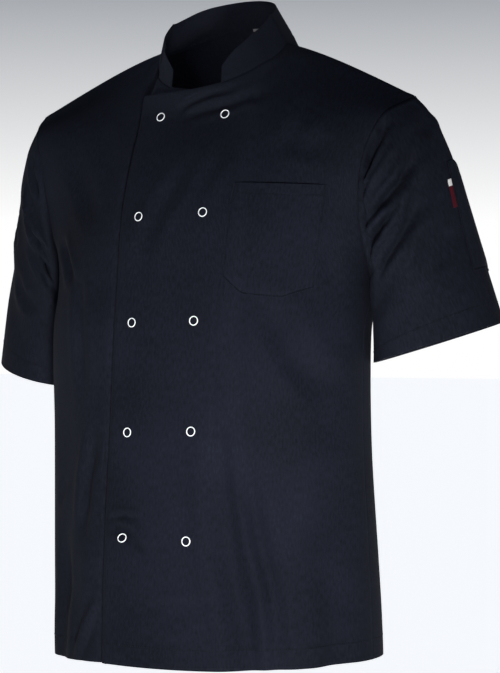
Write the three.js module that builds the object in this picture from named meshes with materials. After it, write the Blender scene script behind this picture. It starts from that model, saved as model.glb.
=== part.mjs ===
// A short-sleeved, double-breasted chef jacket in the round form that it has when worn, with nothing inside.
// Millimetres, +Z up, front toward -Y, the wearer's left toward +X.
// The origin is on the centre line of the neck, level with the high point of the shoulders.
import * as THREE from "three";

// Driving dimensions
const CLOTH = 1.6; // wall of the cloth
const SEAM_GAP = 0.3; // between two pieces that are sewn edge to edge
const LAY_GAP = 0.8; // between a panel and a patch that lies on it
const LAP = 68; // how far the flap runs past the centre line
const UNDER_LAP = 62; // how far the front under it does
const LAP_LIFT = CLOTH + 1.2; // how far the flap stands out to clear the front under it
// Where the flap's lift starts and ends to fade, from the centre, and the least that this takes.
const LAP_EASE = { full: 76, gone: 98, least: 10 };
const NECK = { halfWidth: 82, halfDepth: 75, centreY: 34, frontZ: -64, sideZ: -5, backZ: 20 };
const FLAP_CORNER = { x: -LAP, y: -33, z: -69 };
const UNDER_CORNER = { x: -UNDER_LAP, y: -26, z: -73 };
const SHOULDER = { x: 249, y: 26, z: -78 }; // where the shoulder seam meets the sleeve
const SHOULDER_ROUND = 4; // how far the seam bows up between its ends
const SLEEVE_CLEAR = 4; // between the middles of the sleeve's wall and the body's where they lie together
const FOLDED_BACK = 0.3; // the cosine of the bend at the armhole from which the sleeve stands off sideways
// The cuffs, of which the right one hangs lower. Each tilts up to the outside and down to the front.
const CUFF_LEFT = { x: 262, y: 66, z: -355, halfWidth: 76, halfDepth: 66, tilt: 16.5, dip: 6, full: 18 };
const CUFF_RIGHT = { x: 260, y: 64, z: -389, halfWidth: 72, halfDepth: 66, tilt: 14, dip: 10, full: 11 };
const CAP_FULLNESS = { frontBack: 9, inner: -9 }; // how far the sleeve stands off a straight tube
const COLLAR = { height: 40, frontHeight: 34, endHeight: 25, endX: 34 };
const COLLAR_LEAN = { front: 0.12, side: 0.45, back: 0.45 }; // toward the neck, for each unit of its height
const SNAP = { outer: 5.6, inner: 3.7, height: 1.1, shoulder: 0.6, apart: 86, sides: 16, seat: 0.6 };
const SNAP_ROWS_Z = [-97, -208, -330, -457, -579]; // evenly spaced along the cloth

// Columns and rows of the cloth's grids
const LAP_COLUMNS = 7; // along the neckline, from the flap's corner to the end of the collar
const NECK_COLUMNS = 5; // from the end of the collar to the shoulder seam
const SHOULDER_COLUMNS = 8; // along the shoulder seam
const BACK_NECK_COLUMNS = 12;
const SLEEVE_ROWS = 9;
const COLLAR_ROWS = 3;

// Sections of the fronts from the hem up. Each one gives its centre line, then the point on the side seam
// or the armhole, then how many degrees it turns on its way there and how square it is (1 is round).
const FRONT_ROWS = [
  { at: "hem", steps: 3, midY: -134, midZ: -719, edgeX: 200, edgeY: 18, edgeZ: -715, turn: 90, square: 0.85 },
  { at: "hip", steps: 4, midY: -130, midZ: -604, edgeX: 201, edgeY: 14, edgeZ: -602, turn: 90, square: 0.85 },
  { at: "waist", steps: 3, midY: -118, midZ: -455, edgeX: 203, edgeY: 8, edgeZ: -453, turn: 90, square: 0.85 },
  { at: "ribs", steps: 2, midY: -109, midZ: -340, edgeX: 205, edgeY: 8, edgeZ: -340, turn: 90, square: 0.8 },
  { at: "underarm", steps: 3, midY: -103, midZ: -285, edgeX: 206, edgeY: 25, edgeZ: -290, turn: 89, square: 0.75 },
  { at: "chest", steps: 3, midY: -92, midZ: -206, edgeX: 203, edgeY: -20, edgeZ: -228, turn: 75, square: 1 },
  { at: "upper", steps: 3, midY: -68, midZ: -140, edgeX: 213, edgeY: -33, edgeZ: -160, turn: 60, square: 1 },
  { at: "yoke", steps: 3, midY: -44, midZ: -92, edgeX: 236, edgeY: -18, edgeZ: -104, turn: 50, square: 1 },
];

// The same for the back, which shares its side seams with the fronts.
const BACK_ROWS = [
  { at: "hem", steps: 3, midY: 152, midZ: -715, edgeX: 200, edgeY: 18, edgeZ: -715, turn: 90, square: 0.85 },
  { at: "hip", steps: 4, midY: 137, midZ: -602, edgeX: 201, edgeY: 14, edgeZ: -602, turn: 90, square: 0.85 },
  { at: "waist", steps: 3, midY: 120, midZ: -453, edgeX: 203, edgeY: 8, edgeZ: -453, turn: 90, square: 0.85 },
  { at: "ribs", steps: 2, midY: 122, midZ: -340, edgeX: 205, edgeY: 8, edgeZ: -340, turn: 90, square: 0.9 },
  { at: "underarm", steps: 3, midY: 134, midZ: -280, edgeX: 206, edgeY: 25, edgeZ: -290, turn: 88, square: 0.9 },
  { at: "chest", steps: 3, midY: 147, midZ: -206, edgeX: 203, edgeY: 84, edgeZ: -230, turn: 70, square: 1 },
  { at: "upper", steps: 3, midY: 147, midZ: -130, edgeX: 214, edgeY: 92, edgeZ: -162, turn: 60, square: 1 },
  { at: "yoke", steps: 3, midY: 136, midZ: -52, edgeX: 236, edgeY: 72, edgeZ: -106, turn: 50, square: 1 },
];

// How much of its fullness the sleeve has at equal steps from the armhole to the cuff.
const CAP_PROFILE = [0, 0.86, 1, 0.95, 0.8, 0.62, 0.45, 0.3, 0.15, 0];

// The share of a fold's line, and of a panel's columns, over which a fold fades in.
const FOLD_ENDS = { alongIt: 0.35, atSeam: 0.12 };
// Soft troughs (depth above 0) and ridges (below 0) in the cloth, as lines across a panel in x and z.
const FRONT_FOLDS = [
  { x1: 92, z1: -440, x2: 128, z2: -713, depth: 5, width: 34 },
  { x1: 150, z1: -380, x2: 158, z2: -690, depth: -4, width: 36 },
  { x1: -150, z1: -380, x2: -140, z2: -640, depth: 4, width: 36 },
  { x1: -104, z1: -560, x2: -92, z2: -713, depth: -3, width: 30 },
  { x1: 178, z1: -470, x2: 184, z2: -713, depth: 4, width: 30 },
];
const BACK_FOLDS = [
  { x1: -60, z1: -300, x2: -84, z2: -713, depth: 6, width: 38 },
  { x1: 70, z1: -330, x2: 96, z2: -713, depth: 6, width: 38 },
  { x1: 0, z1: -420, x2: 6, z2: -713, depth: -5, width: 40 },
  { x1: -150, z1: -420, x2: -156, z2: -713, depth: 4, width: 32 },
  { x1: 152, z1: -400, x2: 160, z2: -713, depth: 4, width: 32 },
];
// The same on a sleeve, as lines in turns round it and in its length, where 0 turns is under the arm,
// 0.25 the front and 0.5 the outside.
const SLEEVE_FOLDS = [
  { a1: 0.1, t1: 0.5, a2: 0.3, t2: 0.12, depth: 5, width: 0.1 },
  { a1: 0.14, t1: 0.78, a2: 0.36, t2: 0.34, depth: 4, width: 0.09 },
  { a1: 0.22, t1: 0.92, a2: 0.4, t2: 0.6, depth: 3, width: 0.08 },
  { a1: 0.9, t1: 0.55, a2: 0.68, t2: 0.16, depth: 5, width: 0.1 },
  { a1: 0.86, t1: 0.85, a2: 0.66, t2: 0.45, depth: 4, width: 0.09 },
];

// The chest pocket on the left front: its mouth and foot, its two sides, and its cut-off corners.
const CHEST_POCKET = { topZ: -175, footZ: -297, footDrop: 7, corner: 22, cornerSlope: 0.9 };
const POCKET_SIDES = { innerTopX: 76, outerTopX: 175, innerFootX: 70, outerFootX: 165 };
const POCKET_COLUMNS = 9;
const POCKET_ROWS = 8;
// The sleeve pocket, in turns round the left sleeve and in its length, and the tab in its front edge.
const SLEEVE_POCKET = { front: 0.472, rear: 0.63, top: 0.3, bottom: 0.75 };
const NEAR_LINE = 0.1; // how near to its edge, in columns, a patch leaves out a line of the panel
const SLEEVE_TAB = { front: 0.442, rear: 0.468, top: 0.36, bottom: 0.47, wall: 1.2 };
// The neck label, in columns from the centre back and in rows down from the neck seam.
const NECK_LABEL = { columns: [-0.7, 0, 0.7], rows: [-0.75, -0.45, -0.15], wall: 0.8 };

const TWILL = { color: 0x14171f, roughness: 0.82, metalness: 0 };
const TWILL_INSIDE = { color: 0x0f1218, roughness: 0.86, metalness: 0 };
const RING_METAL = { color: 0xe9e9ea, roughness: 0.3, metalness: 0.6 };
const TAB_TAPE = { color: 0x6b1220, roughness: 0.75, metalness: 0 };
const LABEL_TAPE = { color: 0xd9d6d2, roughness: 0.8, metalness: 0 };

// How a point of a front is looked up: how many rounds, and the share of a cell that slopes are taken over.
const LOCATE = { rounds: 40, step: 0.01 };

const rad = THREE.MathUtils.degToRad;
const lerp = THREE.MathUtils.lerp;
const smooth = THREE.MathUtils.smoothstep;
const jacket = new THREE.Group();

// A point on one section, where u runs from 0 at the centre line to 1 at the edge.
function sectionPoint(row, u) {
  const turn = rad(row.turn);
  const angle = turn * Math.min(1, Math.abs(u));
  const across = Math.sin(angle) / Math.sin(turn);
  const round = (a) => 1 - Math.max(0, Math.cos(a)) ** row.square;
  const back = round(angle) / round(turn);
  const x = Math.sign(u) * row.edgeX * across;
  const y = lerp(row.midY, row.edgeY, back);
  return new THREE.Vector3(x, y, lerp(row.midZ, row.edgeZ, across ** 2));
}

// The u of a section at which x is reached.
function sectionAt(row, x) {
  const turn = rad(row.turn);
  return (Math.sign(x) * Math.asin((Math.abs(x) * Math.sin(turn)) / row.edgeX)) / turn;
}

// A column of the grid: a smooth curve up through its points on the sections, and on to its top point.
function column(rows, pointOn, top) {
  const curve = new THREE.CatmullRomCurve3([...rows.map(pointOn), top]);
  const points = [];
  rows.forEach((row, i) => {
    for (let k = 0; k < row.steps; k++) points.push(curve.getPoint((i + k / row.steps) / rows.length));
  });
  points.push(top);
  return points;
}

// The neck seam, at an angle from 0 at the shoulder seam to 90 at the centre front, or -90 at the back.
function neckPoint(angle) {
  const y = NECK.centreY - NECK.halfDepth * Math.sin(rad(angle));
  const reach = Math.sin(rad(angle));
  const z = lerp(NECK.sideZ, reach > 0 ? NECK.frontZ : NECK.backZ, Math.abs(reach));
  return new THREE.Vector3(NECK.halfWidth * Math.cos(rad(angle)), y, z);
}

const highShoulder = neckPoint(0);
const shoulderTip = new THREE.Vector3(SHOULDER.x, SHOULDER.y, SHOULDER.z);
const collarEndAngle = THREE.MathUtils.radToDeg(Math.acos(COLLAR.endX / NECK.halfWidth));
const collarEnd = neckPoint(collarEndAngle);

// The top edge of a front, from its corner beyond the centre line to the end of the collar.
function lapTop(corner) {
  const centre = new THREE.Vector3(0, NECK.centreY - NECK.halfDepth, NECK.frontZ);
  return new THREE.CatmullRomCurve3([new THREE.Vector3(corner.x, corner.y, corner.z), centre, collarEnd]);
}

// The top point of each column of a front, from the flap's corner along the neck and the shoulder seam.
function frontTops(corner) {
  const tops = [];
  for (let j = 0; j < LAP_COLUMNS; j++) tops.push(lapTop(corner).getPoint(j / LAP_COLUMNS));
  for (let j = 0; j < NECK_COLUMNS; j++) tops.push(neckPoint(lerp(collarEndAngle, 0, j / NECK_COLUMNS)));
  for (let j = 0; j <= SHOULDER_COLUMNS; j++) tops.push(shoulderPoint(j / SHOULDER_COLUMNS));
  return tops;
}

// The shoulder seam, from the neck to the sleeve.
function shoulderPoint(t) {
  const point = new THREE.Vector3().lerpVectors(highShoulder, shoulderTip, t);
  point.z += SHOULDER_ROUND * Math.sin(Math.PI * t);
  return point;
}

// Turns columns of points into rows of points.
function transpose(columns) {
  return columns[0].map((_, i) => columns.map((points) => points[i]));
}

// A front as a grid of points, for the wearer's left.
function frontGrid(corner) {
  const tops = frontTops(corner);
  const last = tops.length - 1;
  const pointOn = (row, j) => sectionPoint(row, lerp(sectionAt(row, corner.x), 1, j / last));
  return transpose(tops.map((top, j) => column(FRONT_ROWS, (row) => pointOn(row, j), top)));
}

// The back as a grid of points, from the wearer's right to the left.
function backGrid() {
  const half = [];
  for (let j = 0; j < BACK_NECK_COLUMNS / 2; j++) {
    half.push(neckPoint(lerp(-90, 0, (2 * j) / BACK_NECK_COLUMNS)));
  }
  for (let j = 0; j <= SHOULDER_COLUMNS; j++) half.push(shoulderPoint(j / SHOULDER_COLUMNS));
  const last = half.length - 1;
  const left = half.map((top, j) => column(BACK_ROWS, (row) => sectionPoint(row, j / last), top));
  const right = left.slice(1).reverse().map((points) => points.map(mirrored));
  return transpose([...right, ...left]);
}

// Rows from the hem to the underarm, which the back and the fronts have in common at the side seam.
const sideRows = FRONT_ROWS.slice(0, 4).reduce((sum, row) => sum + row.steps, 0);

function mirrored(point) {
  return new THREE.Vector3(-point.x, point.y, point.z);
}

// Unit normals of a grid. Facing is 1 where columns turned toward rows give the outside, else -1.
function gridNormals(grid, facing, ring) {
  const columns = grid[0].length;
  return grid.map((row, i) =>
    row.map((_, j) => {
      const before = ring ? (j + columns - 1) % columns : Math.max(0, j - 1);
      const after = ring ? (j + 1) % columns : Math.min(columns - 1, j + 1);
      const along = new THREE.Vector3().subVectors(row[after], row[before]);
      const up = new THREE.Vector3().subVectors(
        grid[Math.min(grid.length - 1, i + 1)][j],
        grid[Math.max(0, i - 1)][j],
      );
      return along.cross(up).normalize().multiplyScalar(facing);
    }),
  );
}

// How far a point lies from the middle of a fold, as the fold's share of its depth there.
function foldShare(px, py, x1, y1, x2, y2, width) {
  const dx = x2 - x1;
  const dy = y2 - y1;
  const t = THREE.MathUtils.clamp(((px - x1) * dx + (py - y1) * dy) / (dx * dx + dy * dy), 0, 1);
  const away = Math.hypot(px - x1 - t * dx, py - y1 - t * dy) / width;
  const ends = smooth(t, 0, FOLD_ENDS.alongIt);
  return Math.exp(-away * away * 2) * ends;
}

// Moves each point of a grid along its normal by a distance worked out from where it is.
function displaced(grid, facing, ring, distance) {
  const normals = gridNormals(grid, facing, ring);
  const moved = (point, i, j) => point.clone().addScaledVector(normals[i][j], distance(point, i, j));
  return grid.map((row, i) => row.map((point, j) => moved(point, i, j)));
}

// How far out the folds move a point. They fade out before a seam, so that the panels still meet there.
function foldDepth(point, folds, edgeShare) {
  let depth = 0;
  for (const f of folds) depth += f.depth * foldShare(point.x, point.z, f.x1, f.z1, f.x2, f.z2, f.width);
  return -depth * smooth(1 - edgeShare, 0, FOLD_ENDS.atSeam);
}

const frontColumns = LAP_COLUMNS + NECK_COLUMNS + SHOULDER_COLUMNS;

// The flap lifts clear of the front under it and comes back to the common surface beyond its edge, which
// it does before the shoulder seam near the neck.
function lapLift(point) {
  const nearNeck = smooth(point.z, FRONT_ROWS[6].midZ, NECK.frontZ);
  const gone = lerp(LAP_EASE.gone, NECK.halfWidth - 2, nearNeck);
  const full = Math.min(LAP_EASE.full, gone - LAP_EASE.least);
  return LAP_LIFT * (1 - smooth(point.x, full, gone));
}

const flat = frontGrid(FLAP_CORNER);
const underFlat = frontGrid(UNDER_CORNER);
const outerFront = displaced(flat, 1, false, (p, i, j) => {
  return lapLift(p) + foldDepth(p, FRONT_FOLDS, j / frontColumns);
});
// The folds of the front under the flap start beyond the flap's edge.
const underFront = displaced(underFlat, 1, false, (p, i, j) => {
  return foldDepth(mirrored(p), FRONT_FOLDS, j / frontColumns) * smooth(p.x, LAP - 20, LAP + 30);
}).map((row) => row.map(mirrored));
const backFlat = backGrid();
backFlat.slice(0, sideRows).forEach((row, i) => {
  row[row.length - 1].copy(flat[i][frontColumns]);
  row[0].copy(mirrored(flat[i][frontColumns]));
});
const backMiddle = (backFlat[0].length - 1) / 2;
const backPanel = displaced(backFlat, -1, false, (p, i, j) =>
  foldDepth(p, BACK_FOLDS, Math.abs(j - backMiddle) / backMiddle),
);

// The armhole as a ring: from under the arm up the front edge, over the shoulder and down the back edge.
function armhole() {
  const start = sideRows;
  const end = flat.length - 1;
  const ring = [];
  for (let i = start; i <= end; i++) ring.push(outerFront[i][frontColumns].clone());
  for (let i = end - 1; i > start; i--) ring.push(backPanel[i][backPanel[0].length - 1].clone());
  return ring;
}

// A sleeve, as on the wearer's left: rings from the armhole to the cuff, with the fullness of its cap.
function sleeveGrid(cuff) {
  const ring = armhole();
  const tilt = rad(cuff.tilt);
  const inner = new THREE.Vector3(-Math.cos(tilt), 0, -Math.sin(tilt));
  const dip = rad(cuff.dip);
  const front = new THREE.Vector3(0, -Math.cos(dip), -Math.sin(dip));
  const centre = new THREE.Vector3(cuff.x, cuff.y, cuff.z);
  return Array.from({ length: SLEEVE_ROWS + 1 }, (_, i) => {
    const t = i / SLEEVE_ROWS;
    return ring.map((start, k) => {
      const angle = (2 * Math.PI * k) / ring.length;
      const c = Math.cos(angle);
      const s = Math.sin(angle);
      const out = new THREE.Vector3().addScaledVector(inner, c).addScaledVector(front, s);
      const end = centre.clone().addScaledVector(inner, c * cuff.halfWidth);
      end.addScaledVector(front, s * cuff.halfDepth);
      const fullness = (c > 0 ? CAP_FULLNESS.inner : cuff.full) * c * c + CAP_FULLNESS.frontBack * s * s;
      const point = new THREE.Vector3().lerpVectors(start, end, t);
      return point.addScaledVector(out, fullness * CAP_PROFILE[i]);
    });
  });
}

// How far the body reaches to the side at a given depth and height, on the wearer's left.
function bodyReach(y, z) {
  let reach = 0;
  for (const grid of [flat, backFlat.map((row) => row.slice(backMiddle))]) {
    const edge = grid[0].length - 1;
    const above = Math.max(1, grid.findIndex((row) => row[edge].z > z));
    const share = (z - grid[above - 1][edge].z) / (grid[above][edge].z - grid[above - 1][edge].z);
    for (let j = 1; j <= edge; j++) {
      const before = new THREE.Vector3().lerpVectors(grid[above - 1][j - 1], grid[above][j - 1], share);
      const after = new THREE.Vector3().lerpVectors(grid[above - 1][j], grid[above][j], share);
      if ((before.y - y) * (after.y - y) > 0 || before.y === after.y) continue;
      reach = Math.max(reach, lerp(before.x, after.x, (y - before.y) / (after.y - before.y)));
    }
  }
  return reach;
}

// Holds the inner side of a sleeve just clear of the body that it lies against.
function clearOfBody(grid) {
  for (const row of grid.slice(1)) {
    for (const point of row) {
      if (point.z > FRONT_ROWS[5].edgeZ) continue;
      point.x = Math.max(point.x, bodyReach(point.y, point.z) + SLEEVE_CLEAR);
    }
  }
  return grid;
}

// A sleeve with its folds, which leave out the edge at the armhole.
function creasedSleeve(cuff) {
  const plain = sleeveGrid(cuff);
  return displaced(plain, -1, true, (p, i, k) => {
    const turns = k / plain[0].length;
    let depth = 0;
    for (const f of SLEEVE_FOLDS) {
      depth += f.depth * foldShare(turns, i / SLEEVE_ROWS, f.a1, f.t1, f.a2, f.t2, f.width);
    }
    return -depth * Math.min(1, i / 2);
  });
}

const sleeveLeft = clearOfBody(creasedSleeve(CUFF_LEFT));
const sleeveRight = clearOfBody(creasedSleeve(CUFF_RIGHT)).map((row) => row.map(mirrored));

// The neck seam as a row of points from the wearer's right collar end round the back to the left one.
function neckline() {
  const top = flat.length - 1;
  const leftHalf = outerFront[top].slice(LAP_COLUMNS, LAP_COLUMNS + NECK_COLUMNS);
  const rightHalf = underFront[top].slice(LAP_COLUMNS, LAP_COLUMNS + NECK_COLUMNS);
  const back = backPanel[top].slice(SHOULDER_COLUMNS, SHOULDER_COLUMNS + BACK_NECK_COLUMNS + 1);
  return [...rightHalf, ...back, ...leftHalf.reverse()];
}

// The stand collar: it rises from the neck seam, leans in and is cut round at its front ends.
function collarGrid() {
  const seam = neckline();
  const last = seam.length - 1;
  return Array.from({ length: COLLAR_ROWS + 1 }, (_, i) =>
    seam.map((point, j) => {
      const fromEnd = Math.min(j, last - j);
      const rounded = lerp(COLLAR.endHeight, COLLAR.frontHeight, Math.sqrt(Math.min(1, fromEnd / 2)));
      const height = lerp(rounded, COLLAR.height, smooth(fromEnd, 2, last / 2));
      const radial = new THREE.Vector3(-point.x, NECK.centreY - point.y, 0).normalize();
      const behind = (point.y - NECK.centreY) / NECK.halfDepth;
      const farLean = behind > 0 ? COLLAR_LEAN.back : COLLAR_LEAN.front;
      const lean = lerp(COLLAR_LEAN.side, farLean, Math.abs(behind));
      const rise = new THREE.Vector3(0, 0, 1).addScaledVector(radial, lean).normalize();
      return point.clone().addScaledVector(rise, (height * i) / COLLAR_ROWS);
    }),
  );
}

const collar = collarGrid();

// Grids, with the side that faces out.
const panels = {
  back: { grid: backPanel, facing: -1, ring: false },
  front_left: { grid: outerFront, facing: 1, ring: false },
  front_right: { grid: underFront, facing: -1, ring: false },
  sleeve_left: { grid: sleeveLeft, facing: -1, ring: true },
  sleeve_right: { grid: sleeveRight, facing: 1, ring: true },
  collar: { grid: collar, facing: -1, ring: false, foot: 3 * SEAM_GAP },
};

function seamKey(point) {
  return point.toArray().map((v) => Math.round(v * 20)).join(" ");
}

// Points that two panels share at a seam get one common normal, so that both walls are mitred there
// and neither runs into the other. The sleeves are left out, because they fold sharply at the armhole.
function shareNormals() {
  const shared = new Map();
  for (const panel of Object.values(panels)) {
    panel.normals = gridNormals(panel.grid, panel.facing, panel.ring);
    if (panel.ring) continue;
    panel.grid.forEach((row, i) =>
      row.forEach((point, j) => {
        const key = seamKey(point);
        if (!shared.has(key)) shared.set(key, new THREE.Vector3());
        shared.get(key).add(panel.normals[i][j]);
      }),
    );
  }
  const common = (point) => shared.get(seamKey(point)).clone().normalize();
  for (const panel of Object.values(panels)) {
    if (panel.ring) panel.seats = panel.grid[0].map((point, k) => armholeSeat(panel, k, common(point)));
    else panel.normals = panel.grid.map((row) => row.map(common));
  }
}

// How far a sleeve's edge stands off the armhole's: beyond the end of the body's wall where the cloth
// bends, and beside that wall where it folds back on itself under the arm.
function armholeSeat(panel, k, bodyNormal) {
  const ring = panel.grid[0];
  const next = ring[(k + 1) % ring.length];
  const along = new THREE.Vector3().subVectors(next, ring[(k + ring.length - 1) % ring.length]);
  const beyond = along.cross(bodyNormal).normalize().multiplyScalar(-panel.facing);
  const bend = bodyNormal.angleTo(panel.normals[0][k]);
  const beside = Math.max(0, FOLDED_BACK - Math.cos(bend)) * (CLOTH + SEAM_GAP);
  return beyond.multiplyScalar((Math.sin(bend) * CLOTH) / 2 + SEAM_GAP).addScaledVector(bodyNormal, beside);
}
shareNormals();

// Draws a piece back from each seam by half the gap, along the cloth, and a sleeve by its seat.
function trimmed(panel) {
  const { grid, ring } = panel;
  const rows = grid.length;
  const columns = grid[0].length;
  const step = (from, to) => new THREE.Vector3().subVectors(to, from).normalize();
  return grid.map((row, i) =>
    row.map((point, j) => {
      const moved = point.clone();
      if (ring) return i === 0 ? moved.add(panel.seats[j]) : moved;
      if (i === 0) moved.addScaledVector(step(point, grid[1][j]), panel.foot ?? SEAM_GAP / 2);
      if (i === rows - 1) moved.addScaledVector(step(point, grid[rows - 2][j]), SEAM_GAP / 2);
      if (j === 0) moved.addScaledVector(step(point, row[1]), SEAM_GAP / 2);
      if (j === columns - 1) moved.addScaledVector(step(point, row[columns - 2]), SEAM_GAP / 2);
      return moved;
    }),
  );
}

// A closed wall between an outer and an inner layer of points that share one list of triangles.
function wallGeometry(outer, inner, triangles) {
  const count = outer.length;
  const index = [];
  const edges = new Set();
  for (const [a, b, c] of triangles) {
    index.push(a, b, c, count + a, count + c, count + b);
    edges.add(a + " " + b).add(b + " " + c).add(c + " " + a);
  }
  for (const edge of edges) {
    const [p, q] = edge.split(" ").map(Number);
    if (!edges.has(q + " " + p)) index.push(q, p, count + p, q, count + p, count + q);
  }
  const numbers = [...outer, ...inner].flatMap((p) => p.toArray());
  const geometry = new THREE.BufferGeometry();
  geometry.setAttribute("position", new THREE.Float32BufferAttribute(numbers, 3));
  geometry.setIndex(index);
  geometry.computeVertexNormals();
  return geometry;
}

// Two triangles for each cell of a grid, facing out.
function gridTriangles(rows, columns, facing, ring) {
  const triangles = [];
  const wide = ring ? columns : columns - 1;
  for (let i = 0; i < rows - 1; i++) {
    for (let j = 0; j < wide; j++) {
      const a = i * columns + j;
      const b = i * columns + ((j + 1) % columns);
      const c = b + columns;
      const d = a + columns;
      if (facing > 0) triangles.push([a, b, c], [a, c, d]);
      else triangles.push([a, c, b], [a, d, c]);
    }
  }
  return triangles;
}

function clothMesh(name, geometry, look) {
  const material = new THREE.MeshStandardMaterial(look);
  const mesh = new THREE.Mesh(geometry, material);
  mesh.name = name;
  jacket.add(mesh);
  return mesh;
}

// A wall of the given thickness whose inner face lies clear of the grid by lift.
function wallOn(grid, normals, facing, ring, lift, wall) {
  const points = grid.flat();
  const outward = normals.flat();
  const outer = points.map((p, i) => p.clone().addScaledVector(outward[i], lift + wall));
  const inner = points.map((p, i) => p.clone().addScaledVector(outward[i], lift));
  return wallGeometry(outer, inner, gridTriangles(grid.length, grid[0].length, facing, ring));
}

for (const [name, panel] of Object.entries(panels)) {
  const geometry = wallOn(trimmed(panel), panel.normals, panel.facing, panel.ring, -CLOTH / 2, CLOTH);
  clothMesh(name, geometry, name === "back" ? TWILL_INSIDE : TWILL);
}

// The point and normal of a panel's outer face at a fractional row and column, on its own facets.
function faceAt(panel, r, c) {
  const { grid, normals } = panel;
  const columns = grid[0].length;
  const i = Math.min(grid.length - 2, Math.max(0, Math.floor(r)));
  const j = Math.min(panel.ring ? columns - 1 : columns - 2, Math.max(0, Math.floor(c)));
  const v = r - i;
  const u = c - j;
  const next = (j + 1) % columns;
  const blend = (of) => {
    const a = of[i][j].clone();
    const far = of[i + 1][next];
    const point = a.clone().multiplyScalar(1 - Math.max(u, v)).addScaledVector(far, Math.min(u, v));
    return point.addScaledVector(u > v ? of[i][next] : of[i + 1][j], Math.abs(u - v));
  };
  const normal = blend(normals).normalize();
  return { point: blend(grid).addScaledVector(normal, CLOTH / 2), normal };
}

// The point of a front's face that has a given x and z, found in steps of one cell at the most.
function locate(panel, x, z) {
  const clamp = THREE.MathUtils.clamp;
  let r = panel.grid.length / 2;
  let c = panel.grid[0].length / 2;
  for (let n = 0; n < LOCATE.rounds; n++) {
    const here = faceAt(panel, r, c).point;
    const right = faceAt(panel, r, c + LOCATE.step).point;
    const above = faceAt(panel, r + LOCATE.step, c).point;
    c += clamp(((x - here.x) * LOCATE.step) / (right.x - here.x), -1, 1);
    r += clamp(((z - here.z) * LOCATE.step) / (above.z - here.z), -1, 1);
  }
  return faceAt(panel, r, c);
}

// A patch laid on a panel: faces has the panel's face under each of its points.
function patch(name, faces, facing, look, wall) {
  const grid = faces.map((row) => row.map((face) => face.point));
  const normals = faces.map((row) => row.map((face) => face.normal));
  clothMesh(name, wallOn(grid, normals, facing, false, LAY_GAP, wall), look);
}

// The chest pocket: a patch whose foot drops to the outside and rises again where its corners are cut off.
function chestPocket() {
  const { topZ, footZ, footDrop, corner, cornerSlope } = CHEST_POCKET;
  const sides = POCKET_SIDES;
  const faces = Array.from({ length: POCKET_ROWS + 1 }, (_, i) =>
    Array.from({ length: POCKET_COLUMNS + 1 }, (_, j) => {
      const up = i / POCKET_ROWS;
      const across = j / POCKET_COLUMNS;
      const width = sides.outerFootX - sides.innerFootX;
      const cut = Math.max(0, corner - width * across, corner - width * (1 - across));
      const foot = footZ - footDrop * across + cut * cornerSlope;
      const inner = lerp(sides.innerFootX, sides.innerTopX, up);
      const outer = lerp(sides.outerFootX, sides.outerTopX, up);
      return locate(panels.front_left, lerp(inner, outer, across), lerp(foot, topZ, up));
    }),
  );
  patch("chest_pocket", faces, 1, TWILL, CLOTH);
}

// The rows or columns, in parts of one, at which a patch has its points: its two edges and the panel's
// own lines between them that aren't too near to them.
function stops(from, to) {
  const first = Math.ceil(from);
  const between = Array.from({ length: Math.floor(to) - first + 1 }, (_, i) => first + i);
  return [from, ...between.filter((line) => line - from > NEAR_LINE && to - line > NEAR_LINE), to];
}

// A patch on the left sleeve.
function sleevePatch(name, place, look, wall) {
  const sleeve = panels.sleeve_left;
  const turns = sleeve.grid[0].length;
  const columns = stops(turns * place.front, turns * place.rear);
  const rows = stops(SLEEVE_ROWS * place.top, SLEEVE_ROWS * place.bottom);
  patch(name, rows.map((r) => columns.map((c) => faceAt(sleeve, r, c))), -1, look, wall);
}

// A snap: an open ring with a rounded face, standing on the left front.
function snapRing(name, x, z) {
  const { outer, inner, height, shoulder, sides } = SNAP;
  const middle = (outer + inner) / 2;
  const profile = [
    new THREE.Vector2(inner, 0),
    new THREE.Vector2(outer, 0),
    new THREE.Vector2(outer, shoulder),
    new THREE.Vector2(middle, height),
    new THREE.Vector2(inner, shoulder),
    new THREE.Vector2(inner, 0),
  ];
  const geometry = new THREE.LatheGeometry(profile, sides);
  const ring = new THREE.Mesh(geometry, new THREE.MeshStandardMaterial(RING_METAL));
  const { point, normal } = locate(panels.front_left, x, z);
  ring.position.copy(point).addScaledVector(normal, SNAP.seat);
  ring.quaternion.setFromUnitVectors(new THREE.Vector3(0, 1, 0), normal);
  ring.name = name;
  jacket.add(ring);
}

// The neck label lies inside the back, just under the collar seam.
function neckLabel() {
  const back = panels.back;
  const middle = (back.grid[0].length - 1) / 2;
  const faces = NECK_LABEL.rows.map((r) =>
    NECK_LABEL.columns.map((c) => {
      const { point, normal } = faceAt(back, back.grid.length - 1 + r, middle + c);
      return { point: point.addScaledVector(normal, -CLOTH), normal: normal.negate() };
    }),
  );
  patch("neck_label", faces, 1, LABEL_TAPE, NECK_LABEL.wall);
}

chestPocket();
sleevePatch("sleeve_pocket", SLEEVE_POCKET, TWILL, CLOTH);
sleevePatch("sleeve_tab", SLEEVE_TAB, TAB_TAPE, SLEEVE_TAB.wall);
for (const [n, z] of SNAP_ROWS_Z.entries()) {
  snapRing("snap_right_" + (n + 1), -SNAP.apart / 2, z);
  snapRing("snap_left_" + (n + 1), SNAP.apart / 2, z);
}
neckLabel();

export default jacket;
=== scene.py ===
# A short-sleeved, double-breasted chef jacket of black twill, in the round form that it has when worn.
# The cloth's surfaces are worked out in millimetres from the cut's own sections and are made in metres.
import bmesh
import bpy
import math
import numpy as np
from mathutils import Matrix, Vector


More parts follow.
